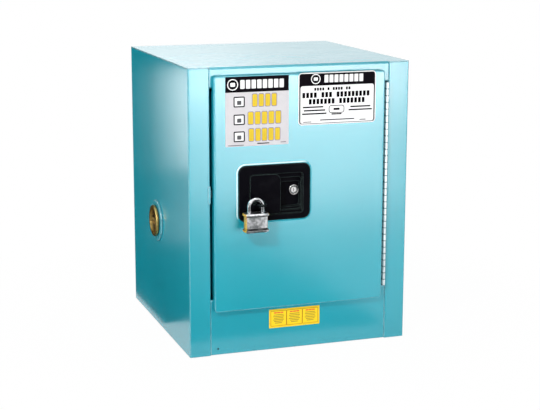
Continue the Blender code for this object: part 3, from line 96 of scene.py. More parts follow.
class Graph:
    def __init__(self, owner, outputKind="ShaderNodeOutputMaterial"):
        self.owner = owner
        owner.use_nodes = True
        self.nodes = owner.node_tree.nodes
        self.links = owner.node_tree.links
        self.nodes.clear()
        self.output = self.nodes.new(outputKind)

    def add(self, kind, settings=None, values=None):
        node = self.nodes.new(kind)
        for key, value in (settings or {}).items():
            setattr(node, key, value)
        pairs = values.items() if isinstance(values, dict) else enumerate(values or [])
        for key, value in pairs:
            self.plug(node.inputs[key], value)
        return Made(self, node)

    def plug(self, socket, value):
        if isinstance(value, Flow):
            self.links.new(value.socket, socket)
        elif value is not None:
            socket.default_value = value

    def place(self, scale=(1, 1, 1)):
        coords = self.add("ShaderNodeTexCoord").out("Object")
        return self.add("ShaderNodeMapping", None, {"Vector": coords, "Scale": scale}).out()

    def along(self, axis):
        return self.add("ShaderNodeSeparateXYZ", None, [self.place()]).out(axis)

    def facing(self):
        normal = self.add("ShaderNodeTexCoord").out("Normal")
        return self.add("ShaderNodeSeparateXYZ", None, [normal])

    def noise(self, scale, detail=2.0, rough=0.5, stretch=(1, 1, 1)):
        return self.add("ShaderNodeTexNoise", None, {
            "Vector": self.place(stretch), "Scale": scale, "Detail": detail, "Roughness": rough,
        }).out("Fac")

    def mix(self, factor, first, second):
        # A colour Mix node has its factor and its two colours at these sockets
        made = self.add("ShaderNodeMix", {"data_type": "RGBA"}, {0: factor, 6: first, 7: second})
        return made.out(2)

    def rounded(self, radius):
        return self.add("ShaderNodeBevel", {"samples": 4}, {"Radius": radius}).out()

    def edge(self, rounded):
        # 0 on the flats, and more where the rounded normal leaves the true one
        true = self.add("ShaderNodeNewGeometry").out("Normal")
        turn = self.add("ShaderNodeVectorMath", {"operation": "DOT_PRODUCT"}, [rounded, true])
        return 1.0 - turn.out("Value")

    def bump(self, height, depth, normal=None):
        return self.add("ShaderNodeBump", None, {
            "Strength": 1.0, "Distance": depth, "Height": height, "Normal": normal,
        }).out()

    def seenRays(self):
        rays = self.add("ShaderNodeLightPath")
        seen = rays.out("Is Camera Ray") + rays.out("Is Glossy Ray") + rays.out("Is Transmission Ray")
        return seen.clamped()

    def show(self, shader):
        self.links.new(shader.socket, self.output.inputs[0])
        return self.owner

    def surface(self, sockets):
        return self.show(self.add("ShaderNodeBsdfPrincipled", None, sockets).out())


def newGraph(name):
    return Graph(bpy.data.materials.new(name))


def grey(level):
    return (level, level, level, 1.0)


def shaded(colour, share):
    return tuple(min(1.0, channel * share) for channel in colour[:3]) + (1.0,)


# In each look, a noise is its scale, detail, roughness and stretch, and a fade is a mask's edge and softness
paintLook = {
    "colour": (0.004, 0.330, 0.418, 1.0),
    # The pale colour of the painted highlight on rounded edges, broken up like wear, and on the rim's slopes
    # that face up and to the left
    "wearAndHighlight": (0.70, 0.90, 0.92, 1.0),
    "darker": 0.93,
    "mottle": (3.5, 3.0),
    "mottleFade": (0.35, 0.3),
    "highlightPatches": (46.0, 4.0, 0.6),
    "highlightPatchFade": (0.42, 0.2),
    "highlightStrength": 0.9,
    "highlightLeast": 0.55,
    "highlightFade": (0.02, 0.15),
    "roughness": 0.24,
    "smudge": (9.0, 5.0, 0.62),
    "smudgeRough": 0.08,
    "peel": (520.0, 1.5, 0.45),
    "peelRough": 0.04,
    "peelDepth": 0.030 * mm,
    "gloss": 1.0,
    "edgeRadius": 2.1 * mm,
}


def powderCoat(name, look, tint=1.0, roughShift=0.0):
    graph = newGraph(name)
    rounded = graph.rounded(look["edgeRadius"])
    edge = graph.edge(rounded)
    colour = shaded(look["colour"], tint)
    mottle = graph.noise(*look["mottle"]).above(*look["mottleFade"])
    highlightPatches = graph.noise(*look["highlightPatches"]).above(*look["highlightPatchFade"])
    base = graph.mix(mottle, shaded(colour, look["darker"]), colour)
    # Painted edge highlight: the pale colour goes on the rounded edges in patches, like wear
    patchy = look["highlightLeast"] + highlightPatches * (1.0 - look["highlightLeast"])
    edgeHighlight = edge.above(*look["highlightFade"]) * patchy * look["highlightStrength"]
    peel = graph.noise(*look["peel"])
    smudge = graph.noise(*look["smudge"])
    rough = look["roughness"] + roughShift + (smudge - 0.5) * look["smudgeRough"]
    return graph.surface({
        "Base Color": graph.mix(edgeHighlight, base, look["wearAndHighlight"]),
        "Roughness": rough + (peel - 0.5) * look["peelRough"],
        "Specular IOR Level": look["gloss"],
        "Normal": graph.bump(peel, look["peelDepth"], rounded),
    })


rimLook = dict(paintLook, edgeRadius=0.8 * mm, slopeFade=(0.10, 0.25), slopeHighlightShare=0.95, peelRough=0.05)


def rimPaint(name, look):
    # Painted highlight: the pale colour goes on the slopes that face up and to the left, where the light
    # falls, and a little on the rounded edges
    graph = newGraph(name)
    rounded = graph.rounded(look["edgeRadius"])
    parts = graph.facing()
    paintedLitSlopes = (parts.out(2) - parts.out(0)).above(*look["slopeFade"])
    wearAndHighlight = paintedLitSlopes * look["slopeHighlightShare"] + graph.edge(rounded) * (1.0 - look["slopeHighlightShare"])
    peel = graph.noise(*look["peel"])
    return graph.surface({
        "Base Color": graph.mix(wearAndHighlight, look["colour"], look["wearAndHighlight"]),
        "Roughness": look["roughness"] + (peel - 0.5) * look["peelRough"],
        "Normal": graph.bump(peel, look["peelDepth"], rounded),
    })


hingeLook = {
    "bright": (0.84, 0.88, 0.89, 1.0),
    "dull": (0.66, 0.72, 0.74, 1.0),
    # The colour of the painted shade in the gaps between the knuckles
    "gapShade": (0.05, 0.16, 0.18, 1.0),
    "gapShadeShare": 0.9,
    "firstJoint": 120.9 * mm,
    "pitch": 12.7 * mm,
    "jointFade": (0.41, 0.03),
    "cloud": (60.0, 4.0, 0.6),
    "cloudFade": (0.38, 0.3),
    "cloudRough": 0.08,
    "roughness": 0.34,
    "metal": 0.75,
    "gapShadeMetalLoss": 0.5,
}


def hingeSteel(name, look):
    # Bright zinc, with a dark teal painted shade in the gaps between the knuckles
    graph = newGraph(name)
    cloud = graph.noise(*look["cloud"])
    turns = (graph.along(2) - look["firstJoint"]) / look["pitch"]
    joint = (turns.fraction() - 0.5).absolute().above(*look["jointFade"])
    steel = graph.mix(cloud.above(*look["cloudFade"]), look["dull"], look["bright"])
    return graph.surface({
        "Base Color": graph.mix(joint * look["gapShadeShare"], steel, look["gapShade"]),
        "Metallic": look["metal"] - joint * look["gapShadeMetalLoss"],
        "Roughness": look["roughness"] + cloud * look["cloudRough"],
    })


plugLook = {
    "rim": (0.74, 0.56, 0.20, 1.0),
    "brown": (0.30, 0.17, 0.04, 1.0),
    # The near-black brown of the painted shade down in the cup
    "deep": (0.035, 0.022, 0.008, 1.0),
    "face": 224.6 * mm,
    "soft": 5.0 * mm,
    "stain": (120.0, 4.0, 0.62),
    "rimFade": (0.42, 0.16),
    "rimStain": 0.7,
    "cupFade": (0.54, 0.10),
    "cupShare": 0.95,
    "cupMetalLoss": 0.35,
    "roughness": 0.24,
    "stainRough": 0.14,
    "cupRough": 0.15,
    "stainDepth": 0.08 * mm,
    "edgeRadius": 0.5 * mm,
}


def plugBrass(name, look):
    # Bright at the rim with stains, and painted shade down in the cup: deeper points turn a near-black brown
    graph = newGraph(name)
    rounded = graph.rounded(look["edgeRadius"])
    stain = graph.noise(*look["stain"])
    # How far a point lies below the plug's face: the mask of the painted shade
    sunk = (look["face"] - graph.along(0).absolute()).above(0.0, look["soft"])
    brass = graph.mix(stain.above(*look["rimFade"]) * look["rimStain"], look["rim"], look["brown"])
    shade = graph.mix(stain.above(*look["cupFade"]), look["deep"], look["brown"])
    return graph.surface({
        "Base Color": graph.mix(sunk * look["cupShare"], brass, shade),
        "Metallic": 1.0 - sunk * look["cupMetalLoss"],
        "Roughness": look["roughness"] + stain * look["stainRough"] + sunk * look["cupRough"],
        "Normal": graph.bump(stain, look["stainDepth"], rounded),
    })


blackLook = {
    "colour": (0.0025, 0.0022, 0.0045, 1.0),
    "dust": (0.011, 0.011, 0.014, 1.0),
    "dustFade": (0.5, 0.3),
    "dustShare": 0.5,
    # The grey-green colour of the painted highlight on rounded edges
    "edgeHighlight": (0.16, 0.24, 0.22, 1.0),
    "enamelHighlightFade": (0.04, 0.2),
    "enamelHighlightShare": 0.75,
    "roughness": 0.18,
    "smudge": (38.0, 5.0, 0.65),
    "smudgeRough": 0.12,
    "gloss": 0.04,
    "peel": (700.0, 1.0),
    "peelDepth": 0.012 * mm,
    "edgeRadius": 1.4 * mm,
}


def blackEnamel(name, look):
    graph = newGraph(name)
    rounded = graph.rounded(look["edgeRadius"])
    # Painted highlight: the grey-green colour goes on the rounded edges
    edgeHighlight = graph.edge(rounded).above(*look["enamelHighlightFade"]) * look["enamelHighlightShare"]
    smudge = graph.noise(*look["smudge"])
    peel = graph.noise(*look["peel"])
    dusty = graph.mix(smudge.above(*look["dustFade"]) * look["dustShare"], look["colour"], look["dust"])
    return graph.surface({
        "Base Color": graph.mix(edgeHighlight, dusty, look["edgeHighlight"]),
        "Roughness": look["roughness"] + smudge * look["smudgeRough"],
        "Specular IOR Level": look["gloss"],
        "Normal": graph.bump(peel, look["peelDepth"], rounded),
    })


metalLook = {
    "cloud": (30.0, 5.0, 0.6),
    "cloudFade": (0.38, 0.3),
    "cloudRough": 0.06,
    "grain": (900.0, 2.0, 0.5),
    "grainRough": 0.14,
    "grainDepth": 0.004 * mm,
    "edgeFade": (0.1, 0.5),
    "edgeRough": 0.05,
    "edgeRadius": 0.35 * mm,
}
metals = {
    "chrome": {"colour": grey(0.80), "shade": grey(0.66), "roughness": 0.10},
    "zincPlate": {"colour": (0.60, 0.61, 0.62, 1.0), "shade": (0.47, 0.48, 0.50, 1.0), "roughness": 0.32},
    "shelfZinc": {
        "colour": (0.62, 0.63, 0.64, 1.0), "shade": (0.50, 0.51, 0.53, 1.0), "roughness": 0.36,
        "grain": (700.0, 2.0, 0.5, (0.03, 1, 1)),
    },
}


def brightMetal(name, look):
    graph = newGraph(name)
    rounded = graph.rounded(look["edgeRadius"])
    # Rougher on the rounded edges, as wear; no colour is painted here
    wearAndHighlight = graph.edge(rounded).above(*look["edgeFade"]) * look["edgeRough"]
    cloud = graph.noise(*look["cloud"])
    grain = graph.noise(*look["grain"])
    rough = look["roughness"] + (grain - 0.5) * look["grainRough"] + cloud * look["cloudRough"]
    return graph.surface({
        "Base Color": graph.mix(cloud.above(*look["cloudFade"]), look["shade"], look["colour"]),
        "Metallic": 1.0,
        "Roughness": rough + wearAndHighlight,
        "Normal": graph.bump(grain, look["grainDepth"], rounded),
    })


padlockLook = {
    "steel": (0.86, 0.87, 0.89, 1.0),
    "dull": (0.30, 0.32, 0.33, 1.0),
    "cloud": (90.0, 5.0, 0.62),
    "dullFade": (0.40, 0.18),
    "darkBand": (0.02, 0.022, 0.024, 1.0),
    "darkBands": ((246.6 * mm, 1.7 * mm), (270.6 * mm, 1.0 * mm)),  # middle and reach of each
    "darkBandShares": (0.6, 0.8),
    "darkBandFade": (0.34, 0.12),
    "brass": (0.86, 0.50, 0.035, 1.0),
    "copper": (0.62, 0.20, 0.02, 1.0),
    "copperFade": (0.50, 0.12),
    "sideFade": (0.55, 0.25),
    "sideMetalLoss": 0.65,
    "roughness": 0.27,
    "cloudRough": 0.08,
    "rolled": (700.0, 2.0, 0.5, (0.06, 0.06, 1.0)),
    "rolledRough": 0.2,
    "rolledDepth": 0.01 * mm,
    "edgeRadius": 0.3 * mm,
}


def padlockMetal(name, look, punched):
    # Rolled steel; punched plates are also darker in two bands at set heights, and have yellow chromate on
    # their sides
    graph = newGraph(name)
    rounded = graph.rounded(look["edgeRadius"])
    cloud = graph.noise(*look["cloud"])
    rolled = graph.noise(*look["rolled"])
    base = graph.mix(cloud.above(*look["dullFade"]), look["dull"], look["steel"])
    metal = 1.0
    if punched:
        height = graph.along(2)
        start, fade = look["darkBandShares"]
        inDarkBands = sum(
            1.0 - (height - middle).absolute().above(reach * start, reach * fade)
            for middle, reach in look["darkBands"])
        base = graph.mix(inDarkBands.clamped() * cloud.above(*look["darkBandFade"]), base, look["darkBand"])
        sides = graph.facing().out(0).absolute().above(*look["sideFade"])
        gold = graph.mix(cloud.above(*look["copperFade"]), look["brass"], look["copper"])
        base = graph.mix(sides, base, gold)
        metal = 1.0 - sides * look["sideMetalLoss"]
    return graph.surface({
        "Base Color": base,
        "Metallic": metal,
        "Roughness": look["roughness"] + (rolled - 0.5) * look["rolledRough"] + cloud * look["cloudRough"],
        "Normal": graph.bump(rolled, look["rolledDepth"], rounded),
    })


softLook = {"cloud": (24.0, 4.0, 0.6), "cloudFade": (0.35, 0.35), "cloudRough": 0.12}
softs = {
    "rubber": {
        "colour": (0.020, 0.020, 0.021, 1.0), "shade": (0.034, 0.033, 0.032, 1.0),
        "roughness": 0.72, "grain": (800.0, 2.0, 0.5), "grainDepth": 0.01 * mm,
    },
    "polyTray": {
        "colour": (0.78, 0.79, 0.77, 1.0), "shade": (0.70, 0.71, 0.69, 1.0),
        "roughness": 0.46, "grain": (500.0, 2.0, 0.5), "grainDepth": 0.03 * mm,
    },
}


def softStuff(name, look):
    graph = newGraph(name)
    cloud = graph.noise(*look["cloud"])
    return graph.surface({
        "Base Color": graph.mix(cloud.above(*look["cloudFade"]), look["shade"], look["colour"]),
        "Roughness": look["roughness"] + (cloud - 0.5) * look["cloudRough"],
        "Normal": graph.bump(graph.noise(*look["grain"]), look["grainDepth"]),
    })


filmLook = {
    "cloud": (60.0, 4.0, 0.6), "cloudFade": (0.4, 0.3), "cloudRough": 0.1, "darker": 0.94,
    "roughness": 0.42, "gloss": 0.25, "fine": (900.0, 1.0), "fineDepth": 0.006 * mm,
}
films = {
    "filmGrey": {"colour": (0.58, 0.56, 0.58, 1.0)},
    "filmWhite": {"colour": grey(0.86)},
    "filmYellow": {"colour": (0.95, 0.66, 0.012, 1.0)},
    "inkBlack": {"colour": (0.004, 0.003, 0.005, 1.0), "roughness": 0.55, "gloss": 0.02},
    "inkGrey": {"colour": (0.06, 0.06, 0.065, 1.0)},
    "inkGold": {"colour": (0.66, 0.46, 0.004, 1.0)},
    "inkViolet": {"colour": (0.17, 0.16, 0.30, 1.0)},
    "inkRed": {"colour": (0.82, 0.13, 0.03, 1.0)},
    "inkAmber": {"colour": (0.66, 0.30, 0.010, 1.0)},
    "inkOlive": {"colour": (0.42, 0.27, 0.020, 1.0)},
}


def printedFilm(name, look):
    graph = newGraph(name)
    cloud = graph.noise(*look["cloud"])
    darker = shaded(look["colour"], look["darker"])
    return graph.surface({
        "Base Color": graph.mix(cloud.above(*look["cloudFade"]), darker, look["colour"]),
        "Roughness": look["roughness"] + (cloud - 0.5) * look["cloudRough"],
        "Specular IOR Level": look["gloss"],
        "Normal": graph.bump(graph.noise(*look["fine"]), look["fineDepth"]),
    })


finishes = {
    "cabinetPaint": powderCoat("cabinetPaint", paintLook),
    "doorPaint": powderCoat("doorPaint", paintLook, 1.03, -0.02),
    "collarPaint": powderCoat("collarPaint", dict(paintLook, edgeRadius=3.4 * mm), 1.02),
    "hingeSteel": hingeSteel("hingeSteel", hingeLook),
    "rimPaint": rimPaint("rimPaint", rimLook),
    "blackEnamel": blackEnamel("blackEnamel", blackLook),
    "padlockPlate": padlockMetal("padlockPlate", padlockLook, True),
    "padlockRod": padlockMetal("padlockRod", dict(padlockLook, roughness=0.16), False),
    "plugBrass": plugBrass("plugBrass", plugLook),
}
for make, common, kinds in (
    (brightMetal, metalLook, metals), (softStuff, softLook, softs), (printedFilm, filmLook, films),
):
    for finishName, own in kinds.items():
        finishes[finishName] = make(finishName, dict(common, **own))

dressing = {
    "cabinetPaint": (
        "side_panel_left", "side_panel_right", "top_panel", "sill_panel", "bottom_panel", "back_panel",
        "liner_side_left", "liner_side_right", "liner_back", "liner_top", "liner_sump", "strike_plate",
    ),
    "collarPaint": ("vent_collar_left", "vent_collar_right"),
    "hingeSteel": ("hinge_frame_leaf", "hinge_door_leaf"),
    "doorPaint": ("door_skin", "door_inner_pan"),
    "blackEnamel": ("latch_dish", "latch_paddle", "hasp_staple"),
    "chrome": ("lock_barrel", "key_plug"),
    "zincPlate": (
        "vent_screen_left", "vent_screen_right", "hinge_pin", "paddle_pin", "paddle_spring", "cam_stud",
        "latch_cam", "side_bolt", "top_rod", "bottom_rod", "bolt_guide", "top_rod_guide",
        "bottom_rod_guide",
    ),
    "shelfZinc": ("shelf", "shelf_rail_left", "shelf_rail_right"),
    "padlockPlate": ("padlock_body",),
    "padlockRod": ("padlock_shackle",),
    "plugBrass": ("vent_plug_left", "vent_plug_right"),
    "rubber": ("vent_gasket_left", "vent_gasket_right"),
    "polyTray": ("shelf_tray",),
}
for finishName, nodes in dressing.items():
    for node in nodes:
        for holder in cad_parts[node].material_slots:
            holder.material = finishes[finishName]
print("finishes laid on the frame")


def addMesh(name, bm, material):
    mesh = bpy.data.meshes.new(name)
    bm.to_mesh(mesh)
    bm.free()
    mesh.materials.append(material)
    item = bpy.data.objects.new(name, mesh)
    bpy.context.collection.objects.link(item)
    return item


sameSpot = 0.001 * mm  # corners closer than this are merged


def addPiece(name, bm, finish, body, smooth=None):
    bmesh.ops.remove_doubles(bm, verts=bm.verts, dist=sameSpot)
    bmesh.ops.recalc_face_normals(bm, faces=bm.faces)
    item = addMesh(name, bm, finishes[finish])
    if smooth:
        item.data.shade_smooth()
        item.data.set_sharp_from_angle(angle=math.radians(smooth))
    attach(item, body)


def newVerts(geom):
    return [item for item in geom if isinstance(item, bmesh.types.BMVert)]


def addOutline(bm, centre, width, height, corner, segments):
    # A flat rounded rectangle that looks along -Y
    place = Matrix.Translation(centre) @ Matrix.Rotation(math.pi / 2, 4, "X")
    place = place @ Matrix.Diagonal((width, height, 1, 1))
    verts = bmesh.ops.create_grid(bm, x_segments=1, y_segments=1, size=0.5, matrix=place)["verts"]
    if corner:
        verts = bmesh.ops.bevel(
            bm, geom=verts, offset=corner, offset_type="OFFSET", affect="VERTICES",
            segments=segments, profile=0.5, material=-1, clamp_overlap=True)["verts"]
    return verts[0].link_faces[0]


tileSegments = 4


def addTile(bm, tile, front, back):
    # A thin rounded tile between two depths; a sixth size leaves only its border
    x, z, width, height, corner = tile[:5]
    middle = addOutline(bm, (x, front, z), width, height, corner, tileSegments)
    faces = [middle]
    if len(tile) > 5:
        faces = bmesh.ops.inset_region(bm, faces=[middle], thickness=tile[5], use_boundary=True)["faces"]
        bmesh.ops.delete(bm, geom=[middle], context="FACES_ONLY")
    made = bmesh.ops.extrude_face_region(bm, geom=faces, use_keep_orig=True)["geom"]
    bmesh.ops.translate(bm, verts=newVerts(made), vec=(0, back - front, 0))


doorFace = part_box("door_skin")[0].y
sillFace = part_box("sill_panel")[0].y
film = {"lift": 0.03 * mm, "thick": 0.16 * mm, "ink": 0.04 * mm, "sunk": 0.02 * mm}


class Label:
    def __init__(self, name, face, body, slotName):
        self.name, self.body, self.slotName = name, body, slotName
        self.back = face - film["lift"]
        self.front = self.back - film["thick"]
        self.layers = 0

    def base(self, finish, *tile):
        bm = bmesh.new()
        addTile(bm, [size * mm for size in tile], self.front, self.back)
        addPiece(self.name + "Film", bm, finish, self.body)

    def ink(self, part, finish, tiles):
        self.layers += 1
        level = self.front - film["ink"] * self.layers
        bm = bmesh.new()
        for tile in tiles:
            addTile(bm, [size * mm for size in tile], level, level + film["ink"] + film["sunk"])
        addPiece(self.name + part, bm, finish, self.body)


def barRow(x, z, pitch, groups, width, height, corner):
    # Short bars in word-like groups round a middle
    count = sum(groups) + len(groups) - 1
    tiles = []
    place = x - (count - 1) / 2 * pitch
    for group in groups:
        for _ in range(group):
            tiles.append((place, z, width, height, corner))
            place += pitch
        place += pitch
    return tiles


def headingTiles(z, look):
    x, pitch, count, *size = look["heading"]
    badge = [(look["badgeX"], z) + ring for ring in look["badge"]]
    return barRow(x, z, pitch, (count,), *size) + badge


# The labels' sizes are in millimetres. A tile is x, z, width, height, corner and, for a border, its line;
# a heading is x, pitch, how many bars, and a bar's width, height and corner
greyLabelLook = {
    "film": (-88.2, 459.2, 121.0, 127.0, 1.2),
    "band": 28.3,
    "bandCorner": 0.8,
    "rows": ((479.0, 477.0, 4, 12.4), (446.5, 444.6, 5, 13.2), (415.7, 413.6, 5, 12.6)),  # z's, bars, pitch
    "boxX": -122.6,
    "boxPaper": (19.5, 17.5, 1.2),
    "boxRim": (21.5, 19.5, 2.4, 2.3),
    "boxMark": (8.0, 7.5, 1.2),
    "markDrop": 1.5,
    "wordX": -74.3,
    "wordGap": 3.4,
    "word": (22.5, 2.2),
    "wordRim": 2.0,
    "rimCorner": 2.8,
    "footLine": (-76.5, 399.6, 23.0, 1.9, 0),
    "footMarks": ((-129.0, 397.8, 30.0, 1.3, 0), (-38.0, 400.0, 10.5, 1.3, 0)),
    "heading": (-78.9, 10.7, 8, 8.3, 16.0, 1.2),
    "badgeX": -134.8,
    "badge": ((9.0, 7.0, 1.5), (20.6, 20.6, 9.8, 1.7)),
}


def buildGreyLabel(look):
    label = Label("greyLabel", doorFace, "door", "door_paint")
    x, z, width, height, _ = look["film"]
    label.base("filmGrey", *look["film"])
    bandZ = z + (height - look["band"]) / 2
    black = [(x, bandZ, width, look["band"], look["bandCorner"]), look["footLine"]]
    marks = list(look["footMarks"])
    words, rims, paper = [], [], []
    for wordZ, boxZ, count, pitch in look["rows"]:
        paper.append((look["boxX"], boxZ) + look["boxPaper"])
        black.append((look["boxX"], boxZ) + look["boxRim"])
        marks.append((look["boxX"], boxZ - look["markDrop"]) + look["boxMark"])
        for bar in barRow(look["wordX"], wordZ, pitch, (count,), pitch - look["wordGap"], *look["word"]):
            barX, barZ, barWidth, barHeight, _ = bar
            words.append(bar)
            grown = (barWidth + look["wordRim"], barHeight + look["wordRim"])
            rims.append((barX, barZ) + grown + (look["rimCorner"],))
    label.ink("Paper", "filmWhite", paper)
    label.ink("Black", "inkBlack", black)
    label.ink("Grey", "inkGrey", marks)
    label.ink("Edges", "inkViolet", rims)
    label.ink("Words", "inkGold", words)
    label.ink("Heading", "filmWhite", headingTiles(bandZ, look))


whiteLabelLook = {
    "film": (67.9, 476.9, 153.4, 96.4, 6.5),
    "margin": 1.7,
    "band": 21.5,
    "bandRise": 0.5,
    "line": 2.3,
    "paperCorner": 3.8,
    # Each row: x, z, pitch, how many bars in each group, and a bar's width, height and corner
    "rows": (
        (65.4, 483.6, 7.5, (4, 3, 9), 5.4, 9.8, 0.7),
        (66.9, 471.6, 7.5, (7, 7), 5.4, 9.8, 0.7),
        (57.9, 494.4, 5.2, (4, 1, 4, 2), 3.8, 5.4, 0.6),
    ),
    "smallLines": (
        (20.0, 461.5, 40), (23.0, 455.3, 42), (22.5, 449.1, 48), (114.0, 459.5, 40), (114.0, 453.7, 47),
    ),
    "smallLine": (2.6, 0.4),
    "marks": (
        (66.5, 456.3, 31, 14.5, 5.0, 1.3), (66.5, 456.3, 12, 4.0, 0.8), (66.5, 447.2, 20, 2.4, 0.4),
        (68.0, 436.9, 68, 1.9, 0), (119.0, 434.6, 12, 1.5, 0), (9.0, 434.2, 16, 1.3, 0),
    ),
    "heading": (80.4, 9.9, 8, 7.7, 14.0, 1.1),
    "badgeX": 24.9,
    "badge": ((8.0, 6.0, 1.4), (18.6, 18.6, 8.9, 1.6)),
}


def buildWhiteLabel(look):
    label = Label("whiteLabel", doorFace, "door", "door_paint")
    x, z, width, height, corner = look["film"]
    label.base("filmWhite", *look["film"])
    margin, band, line = look["margin"], look["band"], look["line"]
    inner, tall = width - 2 * margin, height - 2 * margin
    lines = []
    for row in look["rows"]:
        lines += barRow(*row)
    lines += [small + look["smallLine"] for small in look["smallLines"]]
    lines += look["marks"]
    label.ink("Black", "inkBlack", [(x, z, inner, tall, corner - margin)])
    label.ink("Paper", "filmWhite", [
        (x, z - band / 2, inner - 2 * line, tall - band - line, look["paperCorner"])])
    label.ink("Lines", "inkBlack", lines)
    label.ink("Heading", "filmWhite", headingTiles(z + tall / 2 - band / 2 + look["bandRise"], look))


sillLabelLook = {
    "film": (-9.9, 60.2, 101.7, 36.5, 1.0),
    "margin": 3.0,
    "fields": 3,
    "fieldOverlap": 0.65,
    "fieldRim": (2.2, 1.3),
    "heads": 3,
    "headPitch": 6.6,
    "headDrop": 4.2,
    "head": (5.8, 2.5, 0.4),
    "lineWidths": (20, 22, 19, 22, 18, 14),
    "lineDrop": 8.3,
    "linePitch": 3.2,
    "line": (1.5, 0.3),
}


def buildSillLabel(look):
    label = Label("sillLabel", sillFace, "cabinet", "cabinet_paint")
    x, z, width, height, _ = look["film"]
    label.base("filmYellow", *look["film"])
    high, step = height - 2 * look["margin"], (width - 2 * look["margin"]) / look["fields"]
    top = z + high / 2
    rims, olive, red = [], [], []
    for i in range(look["fields"]):
        middle = x + (i - (look["fields"] - 1) / 2) * step
        rims.append((middle, z, step + look["fieldOverlap"], high) + look["fieldRim"])
        for j in range(look["heads"]):
            across = (j - (look["heads"] - 1) / 2) * look["headPitch"]
            red.append((middle + across, top - look["headDrop"]) + look["head"])
        for j, size in enumerate(look["lineWidths"]):
            olive.append((middle, top - look["lineDrop"] - look["linePitch"] * j, size) + look["line"])
    label.ink("Rims", "inkAmber", rims)
    label.ink("Lines", "inkOlive", olive)
    label.ink("Heads", "inkRed", red)


buildGreyLabel(greyLabelLook)
buildWhiteLabel(whiteLabelLook)
buildSillLabel(sillLabelLook)
print("labels laid")


buttonSteps = ((0.28, 0.75), (0.45, 0.25))  # inset and lift, as shares of the radius and the rise


def addButton(bm, centre, normal, look):
    made = bmesh.ops.create_circle(bm, cap_ends=True, segments=look["sides"], radius=look["radius"])["verts"]
    face = made[0].link_faces[0]
    for insetShare, liftShare in buttonSteps:
        bmesh.ops.inset_region(
            bm, faces=[face], thickness=look["radius"] * insetShare, use_even_offset=True)
        bmesh.ops.translate(bm, verts=face.verts, vec=(0, 0, look["rise"] * liftShare))
    island = set(made)
    for vert in made:
        for edge in vert.link_edges:
            island.update(edge.verts)
    island.update(face.verts)
    turn = Vector((0, 0, 1)).rotation_difference(Vector(normal)).to_matrix()
    bmesh.ops.rotate(bm, verts=list(island), matrix=turn)
    bmesh.ops.translate(bm, verts=list(island), vec=centre)


weldMark = {
    "radius": 2.7 * mm, "rise": 0.55 * mm, "sides": 12, "smooth": 60,
    "shift": 7 * mm, "fromFoot": (16 * mm, 30 * mm), "fromTop": (22 * mm, 10 * mm),
    "rearInset": 8 * mm, "rearFirst": 30 * mm, "rearPitch": 78 * mm, "rearCount": 7,
}


def buildWeldMarks(mark):
    low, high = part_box("side_panel_left")
    heights = list(mark["fromFoot"]) + [high.z - drop for drop in mark["fromTop"]]
    bm = bmesh.new()
    for side in (-1, 1):
        middle = (low.x + high.x) / 2 * -side
        for height in heights:
            for shift in (-mark["shift"], mark["shift"]):
                addButton(bm, (middle + shift, low.y, height), (0, -1, 0), mark)
        for i in range(mark["rearCount"]):
            place = (side * abs(low.x), high.y - mark["rearInset"], mark["rearFirst"] + mark["rearPitch"] * i)
            addButton(bm, place, (side, 0, 0), mark)
    addPiece("weldMarks", bm, "cabinetPaint", "cabinet", mark["smooth"])


buildWeldMarks(weldMark)


padlockTrim = {
    "radius": 2.3 * mm, "rise": 1.1 * mm, "sides": 12, "smooth": 60,
    "inset": 6.2 * mm, "depthShare": 0.72,
}


def buildPadlockTrim(trim):
    low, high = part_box("padlock_body")
    inset, deep = trim["inset"], trim["inset"] * trim["depthShare"]
    bm = bmesh.new()
    for x in (low.x + inset, high.x - inset):
        for y in (low.y + deep, high.y - deep):
            for z, way in ((high.z, 1), (low.z, -1)):
                addButton(bm, (x, y, z), (0, 0, way), trim)
    addPiece("padlockRivets", bm, "padlockRod", "padlock", trim["smooth"])


buildPadlockTrim(padlockTrim)


# The bead pressed up round the dish's cut-out, whose slopes catch the light
dishRim = {
    "width": 3.2 * mm, "rise": 1.3 * mm, "corner": 14 * mm, "sunk": 0.15 * mm, "gap": 0.25 * mm,
    "segments": 10, "slopes": ((0.72, 1.0), (0.28, 0.0)), "smooth": 50,  # slopes: shares of width and rise
}


def buildDishRim(rim):
    low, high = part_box("latch_dish")
    grow = 2 * (rim["width"] + rim["gap"])
    width, height = high.x - low.x + grow, high.z - low.z + grow
    centre = ((low.x + high.x) / 2, doorFace + rim["sunk"], (low.z + high.z) / 2)
    bm = bmesh.new()
    middle = addOutline(bm, centre, width, height, rim["corner"] + rim["width"], rim["segments"])
    for widthShare, riseShare in rim["slopes"]:
        bmesh.ops.inset_region(bm, faces=[middle], thickness=rim["width"] * widthShare, use_boundary=True)
        bmesh.ops.translate(bm, verts=middle.verts, vec=(0, -rim["rise"] * riseShare, 0))
    bmesh.ops.delete(bm, geom=[middle], context="FACES_ONLY")
    ridge = min(vert.co.y for vert in bm.verts) + rim["sunk"] / 2
    inner = [edge for edge in bm.edges if edge.is_boundary and edge.verts[0].co.y < ridge]
    made = bmesh.ops.extrude_edge_only(bm, edges=inner)["geom"]
    bmesh.ops.translate(bm, verts=newVerts(made), vec=(0, rim["rise"], 0))
    bmesh.ops.bridge_loops(bm, edges=[edge for edge in bm.edges if edge.is_boundary])
    addPiece("dishRim", bm, "rimPaint", "door", rim["smooth"])


buildDishRim(dishRim)


discShare = 0.99  # a tile with a corner of this share of its half width is a disc

# A bright bead round the lock's face, with a black ring inside it: painted shade for the dark groove round
# the plug
lockTrim = {
    "bead": 1.15 * mm, "beadPath": 8.7 * mm, "beadSunkShare": 0.2, "beadSides": 10, "beadSteps": 36,
    "beadSmooth": 80, "groove": 7.6 * mm, "land": 1.5 * mm, "proud": 0.12 * mm, "grooveSmooth": 40,
}


